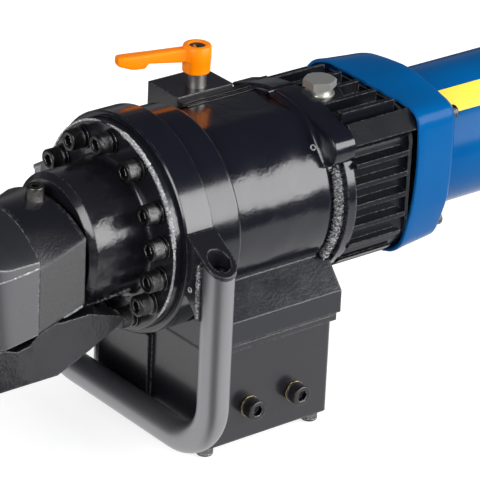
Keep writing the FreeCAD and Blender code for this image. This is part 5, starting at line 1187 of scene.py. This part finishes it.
@dataclass
class Studio:
    """Camera, floor, lamps and surroundings.

    The camera's angles are in degrees, its focal length in pixels of a picture 480 wide, and its slide and distance in
    millimetres. The floor's lengths are in metres.
    """

    azimuth: float = -39.08
    elevation: float = 25.48
    roll: float = 2.66
    pixels: float = 3529.0
    picture: float = 480.0
    sensor: float = 36.0
    slide: tuple[float, float] = (-89.9, 12.85)
    distance: float = 2605.6
    floor_level: float = -0.0006
    floor_rings: tuple[float, ...] = (0.0, 1.5, 5.0)
    seen_glow: float = 0.74
    strip: Point = (-0.104, -0.107, 0.0)
    strip_way: Point = (-0.63, -0.776, 0.0)
    strip_side: Point = (0.776, -0.63, 0.0)
    lamps: tuple[SoftBox, ...] = (SoftBox("right_box", -55.0, 0.0, 33.0, 62.0, 7.5),
                                  SoftBox("left_box", -158.0, 8.0, 38.0, 34.0, 7.0))

    def camera(self) -> None:
        """Places the camera as worked out from the picture: it looks at the tool axis, slid and rolled a little."""
        turn, rise, roll = (math.radians(angle) for angle in (self.azimuth, self.elevation, self.roll))
        back = np.array([math.sin(turn) * math.cos(rise), -math.cos(turn) * math.cos(rise), math.sin(rise)])
        right = np.cross(-back, [0, 0, 1])
        right /= np.linalg.norm(right)
        upward = np.cross(right, -back)
        across = right * math.cos(roll) + upward * math.sin(roll)
        upward = upward * math.cos(roll) - right * math.sin(roll)
        spot = back * self.distance - across * self.slide[0] - upward * self.slide[1]
        lens = bpy.data.cameras.new("picture_camera")
        lens.sensor_width = self.sensor
        lens.lens = self.sensor * self.pixels / self.picture
        lens.clip_start, lens.clip_end = 0.05, 60.0
        holder = placed("picture_camera", lens)
        rows = np.column_stack([across, upward, back, spot * MM + AXIS])
        holder.matrix_world = Matrix([*rows.tolist(), (0.0, 0.0, 0.0, 1.0)])
        bpy.context.scene.camera = holder

    def floor(self) -> None:
        """A wide white floor that keeps a pale shadow: white to the camera, and in reflections bright near the tool,
        but for a wedge before the ram that stays dark."""
        turn, reach = turns(96), np.array(self.floor_rings)[:, None]
        points = np.stack([reach * np.cos(turn), reach * np.sin(turn), 0 * reach * turn + self.floor_level], -1)
        shell = grid(points, wrap_columns=True)
        mesh = bpy.data.meshes.new("studio_floor")
        mesh.from_pydata(shell.points.tolist(), [], shell.quads.tolist())
        floor = placed("studio_floor", mesh)
        bench = Bench(bpy.data.materials.new("studio_floor"))
        bench.shade({"Roughness": 0.9, "Specular IOR Level": 0.0, "Base Color": (0.5, 0.5, 0.5, 1.0)}, {})
        near = (bench.part(bench.place, 1).size().ramp(0.56, 0.44)
                * bench.part(bench.place, 0).size().ramp(0.95, 0.7))
        start = bench.node("ShaderNodeVectorMath", {"operation": "SUBTRACT"}, [bench.place, self.strip], "Vector")
        ahead, aside = (bench.dot(start, way) for way in (self.strip_way, self.strip_side))
        bare = (aside.size() - ahead * 0.5).ramp(-0.03, 0.02)
        white = bench.node("ShaderNodeEmission", {}, {"Color": bench.ray("Is Camera Ray") * self.seen_glow})
        both = bench.node("ShaderNodeAddShader", {}, [Signal(bench, bench.shader.outputs[0]), white])
        mirrored = bench.node("ShaderNodeEmission", {}, {"Color": near * bare * 1.05 + 0.05})
        shown = bench.node("ShaderNodeMixShader", {}, [bench.ray("Is Glossy Ray"), both, mirrored])
        bench.tree.links.new(shown.socket, bench.tree.nodes["Material Output"].inputs[0])
        mesh.materials.append(bench.owner)

    def surroundings(self) -> None:
        """White to the camera; for light and reflections it falls from pale at the horizon to dark overhead."""
        world = bpy.data.worlds.new("studio_world")
        bpy.context.scene.world = world
        bench = Bench(world, "Generated")
        fall = bench.node("ShaderNodeValToRGB", {"stops": [
            (0.0, (0.2, 0.2, 0.21)), (0.12, (0.26, 0.26, 0.28)), (0.3, (0.12, 0.12, 0.135)),
            (0.45, (0.07, 0.073, 0.085)), (0.64, (0.045, 0.048, 0.058)), (1.0, (0.035, 0.038, 0.046))]},
            [bench.part(bench.place, 2)])
        fall = bench.mix(bench.ray("Is Diffuse Ray") * 0.7, fall, (0.72, 0.72, 0.72))
        colour = bench.mix(bench.ray("Is Camera Ray"), fall, (1.0, 1.0, 1.0))
        bench.tree.links.new(colour.socket, bench.tree.nodes["Background"].inputs["Color"])

    def build(self) -> None:
        """Sets up everything round the tool."""
        self.camera()
        self.floor()
        self.surroundings()
        for lamp in self.lamps:
            lamp.build()
        bpy.context.scene.view_settings.view_transform = "Standard"


def main() -> None:
    """Builds the studio and the sub-assemblies in order."""
    logging.basicConfig(level=logging.INFO, format="%(name)s: %(message)s")
    Studio().build()
    for assembly in (BendingHead(), FlangeScrews(), Casting(), CarryHandle(), Tank(), Clamp(), Pump(), Motor(),
                     RearHandle()):
        assembly.build()
        LOG.info("%s built", type(assembly).__name__)


if __name__ == "__main__":
    main()
